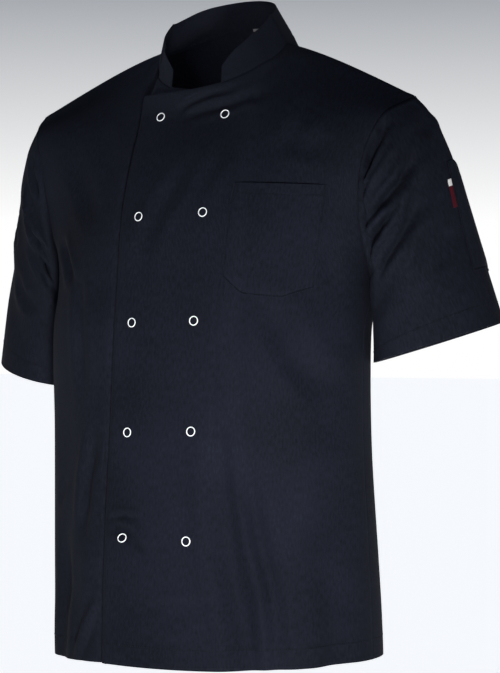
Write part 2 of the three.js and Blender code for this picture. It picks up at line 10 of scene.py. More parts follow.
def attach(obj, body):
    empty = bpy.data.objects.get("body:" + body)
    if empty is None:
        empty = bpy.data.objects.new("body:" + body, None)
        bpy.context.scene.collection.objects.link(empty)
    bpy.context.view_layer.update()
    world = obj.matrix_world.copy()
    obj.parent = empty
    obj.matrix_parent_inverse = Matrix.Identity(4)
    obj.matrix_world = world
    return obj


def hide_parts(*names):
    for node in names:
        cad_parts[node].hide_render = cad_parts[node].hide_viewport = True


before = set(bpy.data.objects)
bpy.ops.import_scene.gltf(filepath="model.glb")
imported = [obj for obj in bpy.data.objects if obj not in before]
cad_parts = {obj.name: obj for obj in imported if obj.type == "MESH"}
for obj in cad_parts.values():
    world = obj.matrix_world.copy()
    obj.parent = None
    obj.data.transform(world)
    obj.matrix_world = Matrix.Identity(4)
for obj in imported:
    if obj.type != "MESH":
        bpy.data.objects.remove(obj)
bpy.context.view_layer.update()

# Dimensions in millimetres, angles in degrees.
MM = 0.001
CLOTH = 1.6  # the solid's wall; the outer face lies half of it outside the middle surface
THREAD_WALL = 0.5  # real thickness of the twill
COLLAR_WALL, POCKET_WALL, TAB_WALL, LABEL_WALL = 1.3, 0.1, 0.6, 0.35
LAP, UNDER_LAP = 68, 62  # how far each front reaches past the centre line
LAP_LIFT = CLOTH + 2.6  # how far the flap stands out where it lies over the right front
LAP_EASE = {"full": 76, "gone": 98, "least": 10}  # x where that starts to ease off, and where it is gone
NECK = {"half_width": 82, "half_depth": 75, "centre_y": 34, "front_z": -64, "side_z": -8, "back_z": 28}
FLAP_CORNER = (-LAP, -33, -69)
UNDER_CORNER = (-UNDER_LAP, -26, -73)
SHOULDER = (249, 26, -78)  # the outer end of the shoulder seam
SHOULDER_ROUND = 5.2  # how far the shoulder rises above a straight line
SLEEVE_CLEAR = 4  # between a sleeve and the body
WAIST_IN = 11  # how far the left side is drawn in at the waist
HEM_OFF = {"left": 1, "right": -6}  # how far each side of the hem is lifted
UNDERARM = 5  # the number of the section that meets under the arm
# Each cuff: its middle, half its size, its turn outwards and forwards, and how full the sleeve's outside is.
CUFF_LEFT = {
    "x": 260, "y": 66, "z": -355, "half_width": 78.5, "half_depth": 66, "tilt": 16.5, "dip": 6, "full": 15,
}
CUFF_RIGHT = {
    "x": 260, "y": 64, "z": -389, "half_width": 72, "half_depth": 66, "tilt": 14, "dip": 10, "full": 11,
}
CAP_FULLNESS = {"front_back": 9, "inner": -9}
CAP_PROFILE = [0, 0.86, 1, 0.95, 0.8, 0.62, 0.45, 0.3, 0.15, 0]
COLLAR_END_X = 34
# Round the neck from the wearer's right end (0) over the back (11) to the left end (22): height, and how far
# the collar leans in for each mm that it rises.
COLLAR_STAND = [
    (0, 21, 0.12), (0.5, 27.5, 0.12), (1, 31, 0.14), (2, 34, 0.2), (3, 35, 0.2), (4, 35, 0.25), (5, 35, 0.3),
    (6, 38, 0.36), (7, 39.5, 0.42), (8, 37.5, 0.44), (9, 34, 0.45), (10, 31.5, 0.45), (11, 30.5, 0.45),
    (12, 31, 0.45), (13, 33, 0.5), (14, 37, 0.58), (15, 41.5, 0.62), (16, 43, 0.62), (17, 42.5, 0.62),
    (18, 43, 0.66), (19, 44, 0.7), (20, 42.5, 0.64), (21, 38, 0.5), (21.5, 32, 0.42), (22, 21, 0.35),
]
SNAP = {"outer": 5.5, "inner": 4.35, "height": 1.1, "apart": 86, "seat": 0.6}
SNAP_ROWS_Z = [-97, -208, -330, -457, -579]
# How far each one was pressed in off its row and column: x and z of the right and of the left one.
SNAP_OFF = [
    ((4.4, 2.3), (4.5, 1.7)), ((4.0, -4.0), (1, -1)), ((3.5, -2.8), (-1.5, -1)),
    ((3.5, 0), (0.5, 2.6)), ((3, 3), (0, 3)),
]
LAP_COLUMNS, NECK_COLUMNS, SHOULDER_COLUMNS, BACK_NECK_COLUMNS = 7, 5, 8, 12
SLEEVE_ROWS = 9
CHEST_POCKET = {
    "top": -176, "fall": 4, "foot": -299, "drop": 10, "inner_cut": (23, 20), "outer_cut": (31, 15),
}
POCKET_SIDES = {"inner_top": 76, "outer_top": 178, "inner_foot": 70, "outer_foot": 165}
# On the sleeve and the back neck, in turns round the sleeve, shares of its length, columns and rows.
SLEEVE_POCKET = {"front": (0.482, 0.456), "rear": (0.64, 0.614), "top": 0.3, "bottom": 0.765}
SLEEVE_TAB = {"front": (0.4665, 0.458), "rear": (0.4775, 0.4715), "top": 0.37, "bottom": 0.49}
NECK_LABEL = {"half": 0.24, "low": -0.24, "high": -0.05}

# Sections from the hem up: rows to the next one, the centre line's y and z, the side's x, y and z, the
# degrees turned on the way there, and how square the section is (1 is round).
FRONT_SECTIONS = [
    (3, -134, -719, 200, 18, -715, 90, 0.85),
    (4, -130, -604, 201, 14, -602, 90, 0.85),
    (3, -118, -455, 203, 8, -453, 90, 0.85),
    (2, -109, -340, 205, 8, -340, 90, 0.8),
    (3, -103, -285, 206, 25, -290, 89, 0.75),
    (3, -92, -206, 207, -21, -228, 75, 1),
    (3, -68, -140, 211, -36, -160, 60, 1),
    (3, -44, -92, 229, -22, -104, 50, 1),
]
BACK_SECTIONS = [
    (3, 152, -715, 200, 18, -715, 90, 0.85),
    (4, 137, -602, 201, 14, -602, 90, 0.85),
    (3, 120, -453, 203, 8, -453, 90, 0.85),
    (2, 122, -340, 205, 8, -340, 90, 0.9),
    (3, 134, -280, 206, 25, -290, 88, 0.9),
    (3, 147, -206, 203, 84, -230, 70, 1),
    (3, 147, -130, 214, 92, -162, 60, 1),
    (3, 136, -52, 236, 72, -106, 50, 1),
]
SIDE_ROWS, ALL_ROWS = 12, 24


def smooth(x, low, high):
    t = np.clip((np.asarray(x, float) - low) / (high - low), 0, 1)
    return t * t * (3 - 2 * t)


def lerp(a, b, t):
    return a + (b - a) * t


def unit(v):
    return v / np.maximum(np.linalg.norm(v, axis=-1, keepdims=True), 1e-9)


def spline(knots, at):
    """Points of a smooth curve through knots, or of many curves at once, at knot numbers with fractions."""
    knots = np.asarray(knots, float)
    full = np.concatenate([2 * knots[:1] - knots[1:2], knots, 2 * knots[-1:] - knots[-2:-1]])
    out = []
    for t in at:
        i = min(int(t), len(knots) - 2)
        w = t - i
        p0, p1, p2, p3 = full[i : i + 4]
        d0, d1, d2 = (
            np.maximum(np.linalg.norm(b - a, axis=-1, keepdims=True) ** 0.5, 1e-6)
            for a, b in ((p0, p1), (p1, p2), (p2, p3))
        )
        t1 = ((p1 - p0) / d0 - (p2 - p0) / (d0 + d1) + (p2 - p1) / d1) * d1
        t2 = ((p2 - p1) / d1 - (p3 - p1) / (d1 + d2) + (p3 - p2) / d2) * d1
        out.append(p1 + t1 * w + (3 * (p2 - p1) - 2 * t1 - t2) * w**2 + (2 * (p1 - p2) + t1 + t2) * w**3)
    return np.array(out)


# The cut: sections, neck seam, shoulder seam


def section_point(section, u):
    _, mid_y, mid_z, side_x, side_y, side_z, turn, square = section
    turn = math.radians(turn)
    angle = turn * np.minimum(1, np.abs(u))
    across = np.sin(angle) / math.sin(turn)
    back = (1 - np.maximum(0, np.cos(angle)) ** square) / (1 - max(0, math.cos(turn)) ** square)
    return np.stack(
        [np.sign(u) * side_x * across, lerp(mid_y, side_y, back), lerp(mid_z, side_z, across**2)], axis=-1
    )


def section_at(section, x):
    side_x, turn = section[3], math.radians(section[6])
    return math.copysign(math.asin(abs(x) * math.sin(turn) / side_x) / turn, x)


def neck_point(angle):
    """The neck seam, from 90 degrees at the centre front over 0 at the shoulder seam to -90 at the back."""
    a = np.radians(angle)
    reach = np.sin(a)
    rise = np.where(reach > 0, reach, np.abs(reach) ** 1.5)
    z = lerp(NECK["side_z"], np.where(reach > 0, NECK["front_z"], NECK["back_z"]), rise)
    return np.stack([NECK["half_width"] * np.cos(a), NECK["centre_y"] - NECK["half_depth"] * reach, z], -1)


def shoulder_point(t):
    p = lerp(neck_point(0.0), np.array(SHOULDER, float), np.asarray(t, float)[..., None])
    p[..., 2] += SHOULDER_ROUND * np.sin(np.pi * np.asarray(t, float) ** 0.7)
    return p


END_ANGLE = math.degrees(math.acos(COLLAR_END_X / NECK["half_width"]))
FRONT_COLUMNS = LAP_COLUMNS + NECK_COLUMNS + SHOULDER_COLUMNS
BACK_HALF = BACK_NECK_COLUMNS // 2 + SHOULDER_COLUMNS


def front_tops(corner, columns):
    centre = (0, NECK["centre_y"] - NECK["half_depth"], NECK["front_z"])
    lap = spline([corner, centre, neck_point(END_ANGLE)], np.clip(columns / LAP_COLUMNS, 0, 1) * 2)
    neck = neck_point(lerp(END_ANGLE, 0, np.clip((columns - LAP_COLUMNS) / NECK_COLUMNS, 0, 1)))
    shoulder = shoulder_point(np.clip((columns - LAP_COLUMNS - NECK_COLUMNS) / SHOULDER_COLUMNS, 0, 1))
    on_lap = (columns <= LAP_COLUMNS)[:, None]
    on_neck = (columns <= LAP_COLUMNS + NECK_COLUMNS)[:, None]
    return np.where(on_lap, lap, np.where(on_neck, neck, shoulder))


def knot_at(row):
    """Row numbers of the cut as knot numbers of its sections."""
    start = 0
    for i, section in enumerate(FRONT_SECTIONS):
        if row <= start + section[0]:
            return i + (row - start) / section[0]
        start += section[0]
    return float(len(FRONT_SECTIONS))


def spread_rows(*runs):
    """Row or column numbers from runs of (first, last, how many steps)."""
    out = []
    for first, last, steps in runs:
        out += [first + (last - first) * k / steps for k in range(steps)]
    return np.array(out + [runs[-1][1]])


HEM = 0.6  # of a row: the stitch line 23 mm above the hem
BODY_ROWS = np.concatenate([
    [0, 0.03, 0.09, 0.2, 0.32, 0.44, 0.54, 0.575, HEM, 0.625, 0.66, 0.75, 0.86],
    spread_rows((1, 10, 81), (10, 12, 13), (12, 15, 21), (15, 18, 18), (18, 21, 12), (21, 24, 9)),
])
FRONT_AT = np.concatenate([[0, 0.04, 0.12, 0.24, 0.4, 0.6, 0.8], spread_rows((1, 12, 55), (12, 20, 40))])
BACK_AT = np.concatenate([-spread_rows((0, 6, 30), (6, 14, 40))[:0:-1], spread_rows((0, 6, 30), (6, 14, 40))])
ARM_FROM = int(np.argmin(abs(BODY_ROWS - SIDE_ROWS)))


def front_grid(corner):
    tops = front_tops(corner, FRONT_AT)
    share = FRONT_AT / FRONT_COLUMNS
    knots = [section_point(s, lerp(section_at(s, corner[0]), 1, share)) for s in FRONT_SECTIONS]
    return spline(knots + [tops], [knot_at(r) for r in BODY_ROWS])


def back_grid(side_seam):
    side = np.abs(BACK_AT)
    neck = neck_point(lerp(-90, 0, np.clip(side / (BACK_NECK_COLUMNS / 2), 0, 1)))
    shoulder = shoulder_point(np.clip((side - BACK_NECK_COLUMNS / 2) / SHOULDER_COLUMNS, 0, 1))
    tops = np.where((side <= BACK_NECK_COLUMNS / 2)[:, None], neck, shoulder)
    knots = [section_point(s, side / BACK_HALF) for s in BACK_SECTIONS]
    grid = spline(knots + [tops], [knot_at(r) for r in BODY_ROWS])
    # The side seam is the fronts' own, up to the underarm, and the back eases into it.
    ease = smooth(side, BACK_HALF - 3, BACK_HALF)[None, :, None]
    miss = (side_seam - grid[:, -1]) * (BODY_ROWS <= SIDE_ROWS)[:, None]
    grid = grid + miss[:, None] * ease
    grid[..., 0] *= np.where(BACK_AT < 0, -1, 1)
    return grid


def normals_of(grid, facing, ring=False):
    if ring:
        along = np.roll(grid, -1, axis=1) - np.roll(grid, 1, axis=1)
    else:
        along = np.gradient(grid, axis=1)
    return unit(np.cross(along, np.gradient(grid, axis=0))) * facing


def mirrored(grid):
    return grid * np.array([-1, 1, 1])


# Folds


def crease(px, py, line, depth, width, ridge=0.45, fade=0.3):
    """How far in a fold lies: a trough along a line of points, with a softer ridge on one side of it."""
    line = np.asarray(line, float)
    steps = np.diff(line, axis=0)
    lengths = np.hypot(steps[:, 0], steps[:, 1])
    starts = np.concatenate([[0], np.cumsum(lengths)])
    best = np.full(np.shape(px), 1e9)
    signed = np.zeros(np.shape(px))
    along = np.zeros(np.shape(px))
    for k, (dx, dy) in enumerate(steps):
        ax, ay = px - line[k, 0], py - line[k, 1]
        t = np.clip((ax * dx + ay * dy) / lengths[k] ** 2, 0, 1)
        off = np.hypot(ax - t * dx, ay - t * dy)
        nearer = off < best
        best = np.where(nearer, off, best)
        signed = np.where(nearer, np.sign(dx * ay - dy * ax) * off, signed)
        along = np.where(nearer, (starts[k] + t * lengths[k]) / starts[-1], along)
    ends = smooth(along, 0, fade) * smooth(1 - along, 0, fade)
    away = signed / width
    return depth * ends * (np.exp(-2 * away**2) - ridge * np.exp(-2 * (np.abs(away) - 1.25) ** 2 * 1.6))


def trough(px, py, x1, y1, x2, y2, depth, width):
    """The plain long folds that the solids have too, which run on to the panel's far end."""
    dx, dy = x2 - x1, y2 - y1
    t = np.clip(((px - x1) * dx + (py - y1) * dy) / (dx * dx + dy * dy), 0, 1)
    away = np.hypot(px - x1 - t * dx, py - y1 - t * dy) / width
    return depth * np.exp(-2 * away**2) * smooth(t, 0, 0.35)


FRONT_TROUGHS = [
    (92, -440, 128, -713, 5, 34),
    (150, -380, 158, -690, -4, 36),
    (-150, -380, -140, -640, 4, 36),
    (-104, -560, -92, -713, -3, 30),
    (178, -470, 184, -713, 4, 30),
]
BACK_TROUGHS = [
    (-60, -300, -84, -713, 6, 38),
    (70, -330, 96, -713, 6, 38),
    (0, -420, 6, -713, -5, 40),
    (-150, -420, -156, -713, 4, 32),
    (152, -400, 160, -713, 4, 32),
]
SLEEVE_TROUGHS = [
    (0.1, 0.5, 0.3, 0.12, 5, 0.1),
    (0.14, 0.78, 0.36, 0.34, 4, 0.09),
    (0.22, 0.92, 0.4, 0.6, 3, 0.08),
    (0.9, 0.55, 0.68, 0.16, 5, 0.1),
    (0.86, 0.85, 0.66, 0.45, 4, 0.09),
]
# Creases as (a line of points, depth, width, share of the ridges beside it, share over which it fades out at
# its ends), in mm. A negative depth is a ridge. The panels' points are (x, z).
FRONT_CREASES = [
    ([(-20, -94), (-3, -80), (24, -72), (58, -66)], 3.2, 6, 0.3, 0.25),
    ([(-16, -102), (12, -91), (44, -86), (80, -74), (104, -62)], 3.2, 8, 0.5, 0.3),
    ([(-6, -94), (22, -81), (60, -75)], -1.6, 7, 0, 0.4),
    ([(34, -130), (10, -170), (-12, -204), (-29, -246), (-27, -300)], 2.6, 16, 0.5, 0.4),
    ([(66, -120), (40, -170), (22, -205)], 1.6, 14, 0.5, 0.4),
    ([(70, -420), (78, -520), (86, -592), (104, -665), (126, -770)], 8, 19, 0.3, 0.3),
    ([(84, -395), (93, -495), (110, -579), (123, -632), (132, -770)], -4.5, 11, 0, 0.3),
    ([(96, -470), (106, -520), (118, -570), (136, -641), (143, -770)], 4.6, 12, 0.4, 0.3),
    ([(-66, -557), (-40, -551), (-10, -557)], 3, 5, 0.5, 0.3),
    ([(-60, -560), (-34, -570), (-4, -598)], 4.6, 8, 0.5, 0.35),
    ([(46, -577), (60, -584), (76, -592)], 1.4, 4.5, 0.5, 0.35),
    ([(46, -566), (62, -562), (80, -565)], 1.1, 4, 0.5, 0.35),
    ([(48, -456), (60, -454), (74, -456)], 1.3, 4, 0.5, 0.35),
    ([(-38, -338), (-12, -350), (14, -352)], 0.9, 8, 0.5, 0.4),
    ([(-36, -450), (-8, -444), (22, -452)], 0.9, 9, 0.5, 0.4),
    ([(-34, -645), (23, -656), (86, -644)], 2, 12, 0.5, 0.35),
    ([(-14, -676), (49, -664), (100, -680)], 1.4, 9, 0.5, 0.35),
    ([(112, -296), (129, -324), (150, -374), (188, -425)], 6.5, 20, 0.35, 0.35),
    ([(70, -306), (84, -330), (88, -372)], 1.8, 14, 0.4, 0.4),
    ([(182, -440), (172, -498), (158, -566)], -3, 26, 0.2, 0.4),
    ([(176, -590), (187, -650), (190, -770)], 5.5, 14, 0.4, 0.35),
    ([(186, -232), (176, -262), (178, -300)], 2.4, 9, 0.4, 0.35),
    ([(120, -120), (150, -136), (184, -140)], 2.2, 16, 0.4, 0.4),
    ([(150, -70), (140, -110), (118, -150)], 1.8, 15, 0.4, 0.4),
    ([(66, -250), (68, -450), (64, -576), (66, -716)], 0.7, 3.5, 0.9, 0.1),
]
UNDER_CREASES = [
    ([(-176, -226), (-166, -248), (-142, -294)], 4.5, 9, 0.5, 0.35),
    ([(-142, -256), (-134, -276), (-124, -340), (-113, -430)], 3.2, 12, 0.5, 0.35),
    ([(-72, -630), (-80, -652), (-96, -680), (-122, -730)], -4, 9, 0.6, 0.35),
    ([(-148, -512), (-155, -526), (-166, -548)], 2, 8, 0.5, 0.35),
    ([(-170, -124), (-134, -176), (-104, -232)], 3, 18, 0.4, 0.4),
    ([(-88, -445), (-103, -512), (-110, -590)], 5.5, 13, 0.5, 0.35),
    ([(-152, -550), (-144, -630), (-152, -770)], 5, 16, 0.4, 0.35),
    ([(-120, -96), (-104, -130), (-92, -176)], 1.8, 12, 0.4, 0.4),
]
BACK_CREASES = [
    ([(-152, -176), (-122, -256), (-108, -352)], 4, 18, 0.4, 0.35),
    ([(158, -190), (130, -268), (117, -380)], 4.2, 16, 0.4, 0.35),
    ([(-168, -206), (-150, -236), (-144, -290)], 3, 9, 0.5, 0.35),
    ([(172, -212), (156, -250), (146, -318)], 3, 10, 0.5, 0.35),
    ([(-40, -500), (-52, -600), (-57, -712)], 4, 14, 0.4, 0.3),
    ([(44, -470), (53, -580), (47, -712)], 3.4, 13, 0.4, 0.3),
    ([(-122, -520), (-125, -620), (-117, -712)], 3.4, 12, 0.4, 0.3),
    ([(118, -540), (127, -640), (121, -712)], 3.8, 13, 0.4, 0.3),
    ([(-166, -300), (-92, -331), (-24, -322)], 2.4, 14, 0.4, 0.4),
    ([(154, -330), (96, -353), (34, -340)], 2.4, 12, 0.4, 0.4),
    ([(-66, -56), (-18, -70), (36, -62)], 1.6, 10, 0.5, 0.4),
    ([(-8, -560), (5, -640), (-3, -712)], 2.6, 10, 0.4, 0.35),
    ([(-182, -610), (-178, -660), (-184, -712)], 3, 10, 0.4, 0.35),
]
# Those of the sleeves are (turns round it, shares of its length): 0 is under the arm, 0.25 the front.
LEFT_SLEEVE_CREASES = [
    (
        [(0.36, 0.02), (0.31, 0.03), (0.26, 0.045), (0.22, 0.09), (0.2, 0.2), (0.19, 0.35), (0.18, 0.5)],
        17, 11, 0.05, 0.2,
    ),
    ([(0.4, 0.02), (0.35, 0.06), (0.3, 0.07), (0.24, 0.05)], 11.4, 9, 0.3, 0.3),
    ([(0.39, 0.11), (0.365, 0.143), (0.323, 0.165), (0.27, 0.16)], -7.6, 8, 0.2, 0.35),
    ([(0.31, 0.1), (0.26, 0.12), (0.21, 0.125)], 7.6, 7, 0.3, 0.35),
    ([(0.42, 0.2), (0.389, 0.254), (0.354, 0.286), (0.312, 0.286), (0.24, 0.262)], 12.3, 10, 0.3, 0.3),
    ([(0.405, 0.245), (0.375, 0.3), (0.333, 0.381), (0.243, 0.413), (0.16, 0.47)], -9.5, 8, 0.2, 0.3),
    ([(0.34, 0.32), (0.312, 0.333), (0.25, 0.302), (0.17, 0.254)], -7.6, 7, 0.2, 0.35),
    ([(0.32, 0.355), (0.26, 0.37), (0.21, 0.34), (0.16, 0.3)], 10.4, 8, 0.3, 0.35),
    ([(0.395, 0.38), (0.345, 0.455), (0.3, 0.49), (0.25, 0.51), (0.19, 0.55)], 9.5, 10, 0.35, 0.35),
    ([(0.41, 0.44), (0.375, 0.495), (0.344, 0.556), (0.302, 0.619)], -3.5, 10, 0.3, 0.35),
    ([(0.385, 0.5), (0.344, 0.59), (0.305, 0.68)], 3.6, 8, 0.4, 0.35),
    ([(0.43, 0.56), (0.403, 0.635), (0.36, 0.73)], 2.2, 10, 0.4, 0.35),
    ([(0.5, 0.05), (0.47, 0.12), (0.44, 0.17)], 3.8, 10, 0.4, 0.4),
    ([(0.6, 0.06), (0.68, 0.12), (0.76, 0.1)], 9.5, 10, 0.4, 0.3),
    ([(0.62, 0.24), (0.7, 0.3), (0.8, 0.26)], 9.5, 10, 0.4, 0.3),
    ([(0.64, 0.4), (0.72, 0.45), (0.83, 0.38)], -6.8, 9, 0.3, 0.35),
    ([(0.66, 0.5), (0.74, 0.56), (0.84, 0.5)], 8, 11, 0.4, 0.35),
    ([(0.68, 0.68), (0.78, 0.74), (0.86, 0.7)], 4.9, 12, 0.4, 0.35),
]
RIGHT_SLEEVE_CREASES = [
    ([(0.36, 0.18), (0.333, 0.222), (0.292, 0.25), (0.25, 0.25), (0.17, 0.2)], -7.6, 8, 0.2, 0.3),
    ([(0.34, 0.25), (0.302, 0.286), (0.26, 0.31), (0.215, 0.3)], 9.3, 8, 0.3, 0.35),
    ([(0.28, 0.345), (0.243, 0.355), (0.201, 0.349), (0.15, 0.31)], 10.2, 8, 0.4, 0.35),
    ([(0.3, 0.37), (0.25, 0.4), (0.215, 0.41), (0.17, 0.425)], 5.8, 9, 0.4, 0.35),
    ([(0.36, 0.06), (0.31, 0.1), (0.25, 0.09)], 6.8, 9, 0.4, 0.35),
    ([(0.35, 0.55), (0.3, 0.62), (0.22, 0.64)], 4.1, 12, 0.4, 0.35),
    ([(0.44, 0.34), (0.4, 0.44), (0.37, 0.5)], 4.1, 12, 0.4, 0.35),
    ([(0.58, 0.08), (0.67, 0.15), (0.77, 0.12)], 8.5, 10, 0.4, 0.3),
    ([(0.63, 0.27), (0.71, 0.33), (0.8, 0.28)], 8.5, 9, 0.4, 0.3),
    ([(0.62, 0.44), (0.73, 0.5), (0.85, 0.43)], 7.5, 11, 0.4, 0.35),
    ([(0.67, 0.64), (0.76, 0.7), (0.85, 0.66)], 4.8, 12, 0.4, 0.35),
]
SLEEVE_GIRTH, SLEEVE_LENGTH = 470, 270  # the scale of the sleeves' creases
NEAR_BODY = 225  # x within which a sleeve can touch the body


def body_folds(grid, troughs, creases, edge_share):
    x, z = grid[..., 0], grid[..., 2]
    depth = sum(trough(x, z, *t) for t in troughs)
    depth = depth + sum(crease(x, z, *c) for c in creases)
    return -depth * smooth(1 - edge_share, 0, 0.12)


EDGE_ROLL = {"deep": 4.2, "wide": 2.8}  # the flap's folded edge
EDGE_PRESS = {"deep": 4.5, "wide": 4.0, "beyond": 2}  # the dent that it presses into the right front


def lap_lift(grid):
    """How far the flap stands out over the right front, less where its folded edge turns in."""
    x, z = grid[..., 0], grid[..., 2]
    near_neck = smooth(z, -140, NECK["front_z"])
    gone = lerp(LAP_EASE["gone"], NECK["half_width"] - 2, near_neck)
    full = np.minimum(LAP_EASE["full"], gone - LAP_EASE["least"])
    along = smooth(-z, 70, 130) * (1 - 0.45 * smooth(-z, 380, 560))
    rolled = EDGE_ROLL["deep"] * np.exp(-(((x + LAP) / EDGE_ROLL["wide"]) ** 2)) * along
    return LAP_LIFT * (1 - smooth((x - full) / (gone - full), 0, 1)) - rolled


def moved_out(grid, facing, distance, ring=False):
    return grid + normals_of(grid, facing, ring) * distance[..., None]


def settled(grid, way=1):
    """How the body hangs: its left side further in at the waist, and its hem lower on the right."""
    x, z = way * grid[..., 0], grid[..., 2]
    waist = smooth(z, -720, -400) * (1 - smooth(z, -345, -232))
    low = 1 - smooth(z, -720, -520)
    hem = HEM_OFF["left"] * smooth(x, 60, 180) + HEM_OFF["right"] * smooth(-x, 60, 180)
    return grid + np.stack([-way * WAIST_IN * smooth(x, 40, 190) * waist, 0 * x, low * hem], -1)


plain_under = front_grid(UNDER_CORNER)
flat_front = settled(front_grid(FLAP_CORNER))
flat_under = settled(plain_under, -1)
flat_back = settled(back_grid(plain_under[:, -1]))
front_share = np.broadcast_to(FRONT_AT / FRONT_COLUMNS, flat_front.shape[:2])
back_share = np.broadcast_to(np.abs(BACK_AT) / BACK_HALF, flat_back.shape[:2])
outer_front = moved_out(
    flat_front, 1, lap_lift(flat_front) + body_folds(flat_front, FRONT_TROUGHS, FRONT_CREASES, front_share)
)
under_folds = body_folds(mirrored(flat_under), FRONT_TROUGHS, UNDER_CREASES, front_share)
under_folds *= smooth(flat_under[..., 0], LAP - 20, LAP + 30)
from_flap = flat_under[..., 0] - LAP - EDGE_PRESS["beyond"]
under_folds -= EDGE_PRESS["deep"] * np.exp(-((from_flap / EDGE_PRESS["wide"]) ** 2))
under_front = mirrored(moved_out(flat_under, 1, under_folds))
back_panel = moved_out(flat_back, -1, body_folds(flat_back, BACK_TROUGHS, BACK_CREASES, back_share))


# Sleeves, as on the wearer's left


def armhole(front):
    """The ring of the armhole: up the front's edge from under the arm, then down the back's."""
    up = front[ARM_FROM:, -1]
    down = back_panel[ARM_FROM + 1 : -1, -1][::-1]
    return np.concatenate([up, down])


ARM_ROWS = BODY_ROWS[ARM_FROM:] - SIDE_ROWS
RING_AT = np.concatenate([ARM_ROWS, ALL_ROWS - ARM_ROWS[1:-1][::-1]])
CUFF_HEM = 0.82  # of a row before the cuff: its stitch line, 25 mm above the edge
SLEEVE_AT = np.concatenate([
    spread_rows((0, 8, 56))[:-1],
    [8, 8.06, 8.12, 8.16, 9 - CUFF_HEM, 8.2, 8.25, 8.35, 8.47, 8.6, 8.73, 8.85, 8.94, 8.98, 9],
])


def cap_share(row):
    knots = np.array(CAP_PROFILE, float)[:, None] * 100
    return spline(np.concatenate([np.arange(len(knots))[:, None] * 30.0, knots], 1), row)[:, 1] / 100


def sleeve_plain(ring, cuff):
    tilt, dip = math.radians(cuff["tilt"]), math.radians(cuff["dip"])
    inner = np.array([-math.cos(tilt), 0, -math.sin(tilt)])
    front = np.array([0, -math.cos(dip), -math.sin(dip)])
    angle = 2 * math.pi * RING_AT / ALL_ROWS
    c, s = np.cos(angle)[:, None], np.sin(angle)[:, None]
    out = inner * c + front * s
    end = np.array([cuff["x"], cuff["y"], cuff["z"]])
    end = end + inner * c * cuff["half_width"] + front * s * cuff["half_depth"]
    fullness = np.where(c > 0, CAP_FULLNESS["inner"], cuff["full"]) * c * c
    fullness = fullness + CAP_FULLNESS["front_back"] * s * s
    t = (SLEEVE_AT / SLEEVE_ROWS)[:, None, None]
    return ring + (end - ring) * t + (out * fullness) * cap_share(SLEEVE_AT)[:, None, None]


def body_reach(y, z):
    """How far the body reaches to the side at a depth and a height, on the wearer's left."""
    reach = 0.0
    for grid in (flat_front, flat_back[:, len(BACK_AT) // 2 :]):
        edge = grid[:, -1, 2]
        above = int(np.clip(np.searchsorted(edge, z), 1, len(edge) - 1))
        share = (z - edge[above - 1]) / (edge[above] - edge[above - 1])
        line = lerp(grid[above - 1], grid[above], share)
        a, b = line[:-1], line[1:]
        hit = ((a[:, 1] - y) * (b[:, 1] - y) <= 0) & (a[:, 1] != b[:, 1])
        if hit.any():
            x = lerp(a[hit, 0], b[hit, 0], (y - a[hit, 1]) / (b[hit, 1] - a[hit, 1]))
            reach = max(reach, float(x.max()))
    return reach


def sleeve_grid(ring, cuff, creases):
    """A sleeve with its folds, kept clear of the body below the underarm."""
    plain = sleeve_plain(ring, cuff)
    turns = np.broadcast_to(RING_AT / ALL_ROWS, plain.shape[:2])
    along = np.broadcast_to((SLEEVE_AT / SLEEVE_ROWS)[:, None], plain.shape[:2])
    depth = sum(trough(turns, along, *t) for t in SLEEVE_TROUGHS)
    depth = depth * np.minimum(1, along * SLEEVE_ROWS / 2)
    scale = np.array([SLEEVE_GIRTH, SLEEVE_LENGTH])
    fine = sum(crease(turns * scale[0], along * scale[1], np.array(line) * scale, *c) for line, *c in creases)
    depth = depth + fine * smooth(along, 0, 0.03) * (1 - smooth(along, 0.86, 0.98))
    grid = moved_out(plain, -1, -depth, ring=True)
    low = FRONT_SECTIONS[UNDERARM][5]
    for i, j in zip(*np.nonzero((grid[..., 2] < low + 10) & (grid[..., 0] < NEAR_BODY))):
        if i:
            least = body_reach(grid[i, j, 1], grid[i, j, 2]) + SLEEVE_CLEAR
            over = grid[i, j, 0] - least
            held = least + 0.5 * (over + math.sqrt(over * over + 4))
            grid[i, j, 0] = lerp(held, grid[i, j, 0], float(smooth(grid[i, j, 2], low - 10, low + 10)))
    return grid


ring_left = armhole(outer_front)
ring_right = armhole(mirrored(under_front))
sleeve_left = sleeve_grid(ring_left, CUFF_LEFT, LEFT_SLEEVE_CREASES)
sleeve_right = mirrored(sleeve_grid(ring_right, CUFF_RIGHT, RIGHT_SLEEVE_CREASES))

# The collar: a stand on the neck seam, from the wearer's right end round the back to the left end.
neck_from, neck_to = (int(np.argmin(abs(FRONT_AT - c))) for c in (LAP_COLUMNS, LAP_COLUMNS + NECK_COLUMNS))
back_neck = np.abs(BACK_AT) <= BACK_NECK_COLUMNS / 2
COLLAR_AT = np.concatenate([
    FRONT_AT[neck_from:neck_to] - LAP_COLUMNS,
    BACK_AT[back_neck] + BACK_NECK_COLUMNS / 2 + NECK_COLUMNS,
    2 * NECK_COLUMNS + BACK_NECK_COLUMNS - (FRONT_AT[neck_from:neck_to] - LAP_COLUMNS)[::-1],
])
neck_seam = np.concatenate([
    under_front[-1, neck_from:neck_to],
    back_panel[-1, back_neck],
    outer_front[-1, neck_from:neck_to][::-1],
])
COLLAR_ROWS_AT = np.array([0, 0.02, 0.06, 0.12, 0.2, 0.3, 0.4, 0.5, 0.6, 0.7, 0.8, 0.88, 0.94, 0.97, 1])


